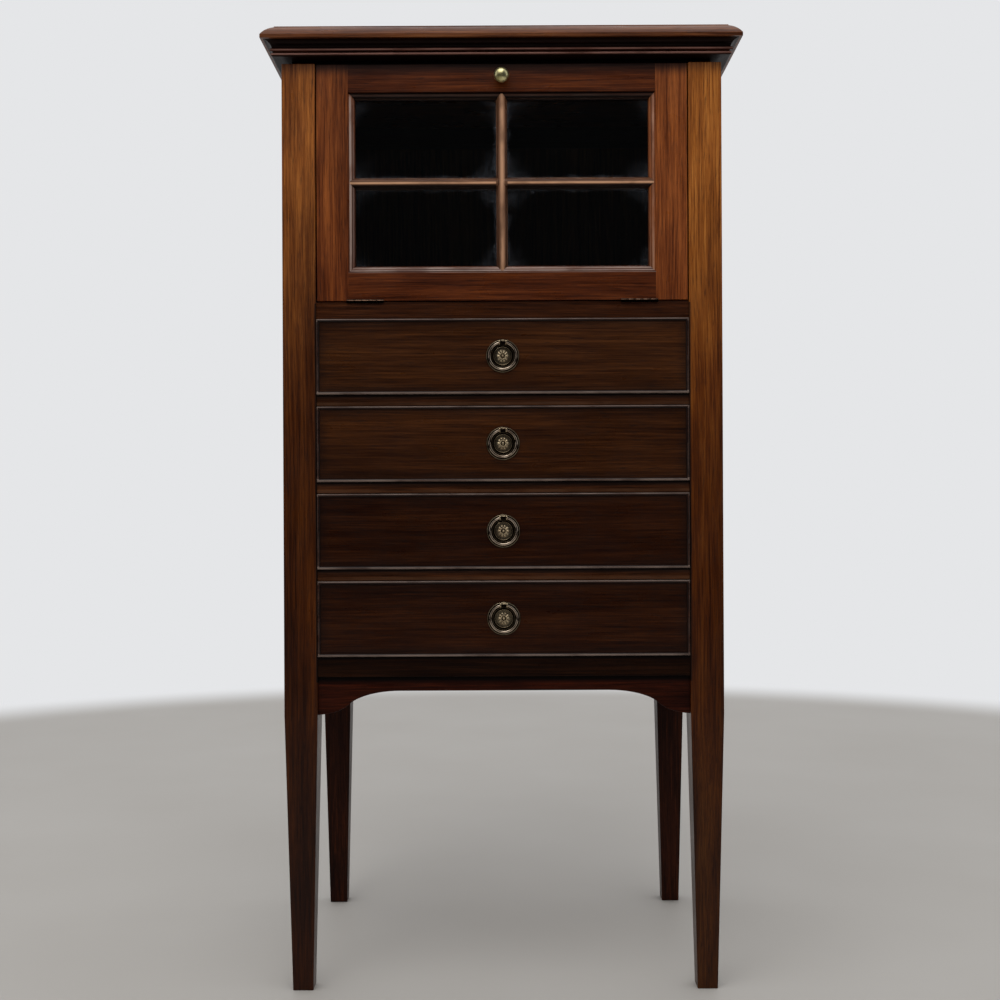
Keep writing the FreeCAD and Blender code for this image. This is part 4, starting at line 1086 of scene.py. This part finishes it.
def screw_heads(places, facing, radius, proud, columns=32):
    """One grid for each place. Height over the face is proud (1 - r squared / 2), less a slot that is
    deepest within a sixth of the radius from the middle line and ends at a quarter."""
    outward = np.asarray(facing, float)
    up, across_front = np.array([0.0, 0.0, 1.0]), np.array([0.0, 1.0, 0.0])
    sideways = across_front if abs(outward[2]) > 0.5 else up
    third = np.cross(outward, sideways)
    turn = round_angles(columns)[None, :]
    share = np.concatenate([np.linspace(0, 1, 12), [1.0, 0.0]])[:, None]
    across, along = radius * share * np.cos(turn), radius * share * np.sin(turn)
    grids = []
    for number, place in enumerate(places, 1):
        aside = np.abs(share * np.sin(turn - slot_turn * number))
        slot = np.clip((0.26 - aside) / 0.1, 0, 1)
        height = proud * (1 - share ** 2 / 2) - 0.22 * radius * slot
        height[-2:] = -0.35 * radius
        grid = across[..., None] * sideways + along[..., None] * third + height[..., None] * outward
        grids.append((grid + np.asarray(place, float), False, 1.0))
    return grids


# %% Screws
screw_proud = 0.1
leaf_screw, guide_screw = 2.2, 1.6  # radius of a head
fixed_leaf, moving_leaf, leaf_middle = 745.6, 746.8, -156.0
door_back, stay_aside, stay_heights = -145.0, 190.0, (895.7, 916.7)
guide_aside, guide_middle, guide_heights = 184.5, -141.9, (897.5, 912.5)

leaf_places = [hinge + offset for hinge in (-148.0, 148.0) for offset in (-14.0, 0.0, 14.0)]
fixed_places = [(x, leaf_middle, fixed_leaf) for x in leaf_places]
moving_places = [(x, leaf_middle, moving_leaf) for x in leaf_places]
stay_places = [(x, door_back, z) for x in (-stay_aside, stay_aside) for z in stay_heights]
guide_left_places = [(-guide_aside, guide_middle, z) for z in guide_heights]
guide_right_places = [(guide_aside, guide_middle, z) for z in guide_heights]
screws = {
    "hinge_screws_fixed": ("carcass", fixed_places, (0, 0, 1), leaf_screw),
    "hinge_screws_moving": ("door", moving_places, (0, 0, -1), leaf_screw),
    "stay_screws": ("door", stay_places, (0, 1, 0), leaf_screw),
    "guide_screws_left": ("carcass", guide_left_places, (1, 0, 0), guide_screw),
    "guide_screws_right": ("carcass", guide_right_places, (-1, 0, 0), guide_screw),
}
for name, (body, places, facing, radius) in screws.items():
    make_piece(name, screw_heads(places, facing, radius, screw_proud), body, screw_brass)

# %% [markdown]
# ## Old glass
#
# The four panes are drawn sheet glass. Behind them the cupboard is dark. Wax, dust and old putty have
# left a pale bloom along the edges of each pane, thickest in the corners. Dust could be a second
# sheet, but one finish that mixes glass and dust by a share needs no more shapes.

# %% Glass with a bloom at its edges
half_bar = 0.004  # from the middle of a bar to the edge of the glass that shows beside it


def old_glass():
    material, board = new_finish("glass")
    place = board.node("ShaderNodeTexCoord", output="Object")
    x, z = (board.node("ShaderNodeSeparateXYZ", None, {0: place}, i) for i in (0, 2))
    side = (abs(x) - half_bar).least(panes_high.x - abs(x))
    half_tall = (panes_high.z - panes_low.z) / 2
    level = (abs(z - bar_level) - half_bar).least(half_tall - abs(z - bar_level))
    in_from_edge = side.least(level)
    clouds = noise(stretched(place, 60.0, 60.0), 5.0, 0.6)
    flakes = step(noise(stretched(place, 230.0, 230.0, 3.3), 4.0, 0.7), 0.38, 0.64)
    wipes = noise(stretched(place, 25.0, 240.0), 3.0)
    rim = 1 - step(in_from_edge + (clouds - 0.5) * 0.014, 0.0, 0.006)
    corner = 1 - step(side + level + (clouds - 0.5) * 0.06, 0.0, 0.042)
    specks = step(noise(stretched(place, 420.0, 420.0), 1.0), 0.80, 0.84)
    edge_bloom = (rim * 0.3 + corner * 0.2) * clouds * (flakes * 0.85 + 0.15)
    bloom = edge_bloom + specks * 0.03 + step(wipes, 0.58, 0.8) * 0.002
    waves = noise(stretched(place, 16.0, 9.0), 1.0)
    glass = board.node("ShaderNodeBsdfPrincipled", None, {
        "Base Color": seen(232, 240, 240), "Roughness": 0.03, "IOR": 1.45,
        "Transmission Weight": 1.0, "Specular IOR Level": 0.2,
        "Normal": board.node("ShaderNodeBump", None, {
            "Strength": 0.03, "Distance": 0.002, "Height": waves}),
    })
    dust = board.node("ShaderNodeBsdfPrincipled", None, {
        "Base Color": seen(150, 156, 168), "Roughness": 0.9, "Specular IOR Level": 0.1})
    either = board.node("ShaderNodeMixShader", None, {0: bloom, 1: glass, 2: dust})
    board.node("ShaderNodeOutputMaterial", None, {"Surface": either})
    return material


dress("glass_panes", old_glass())
print("glass is dressed")
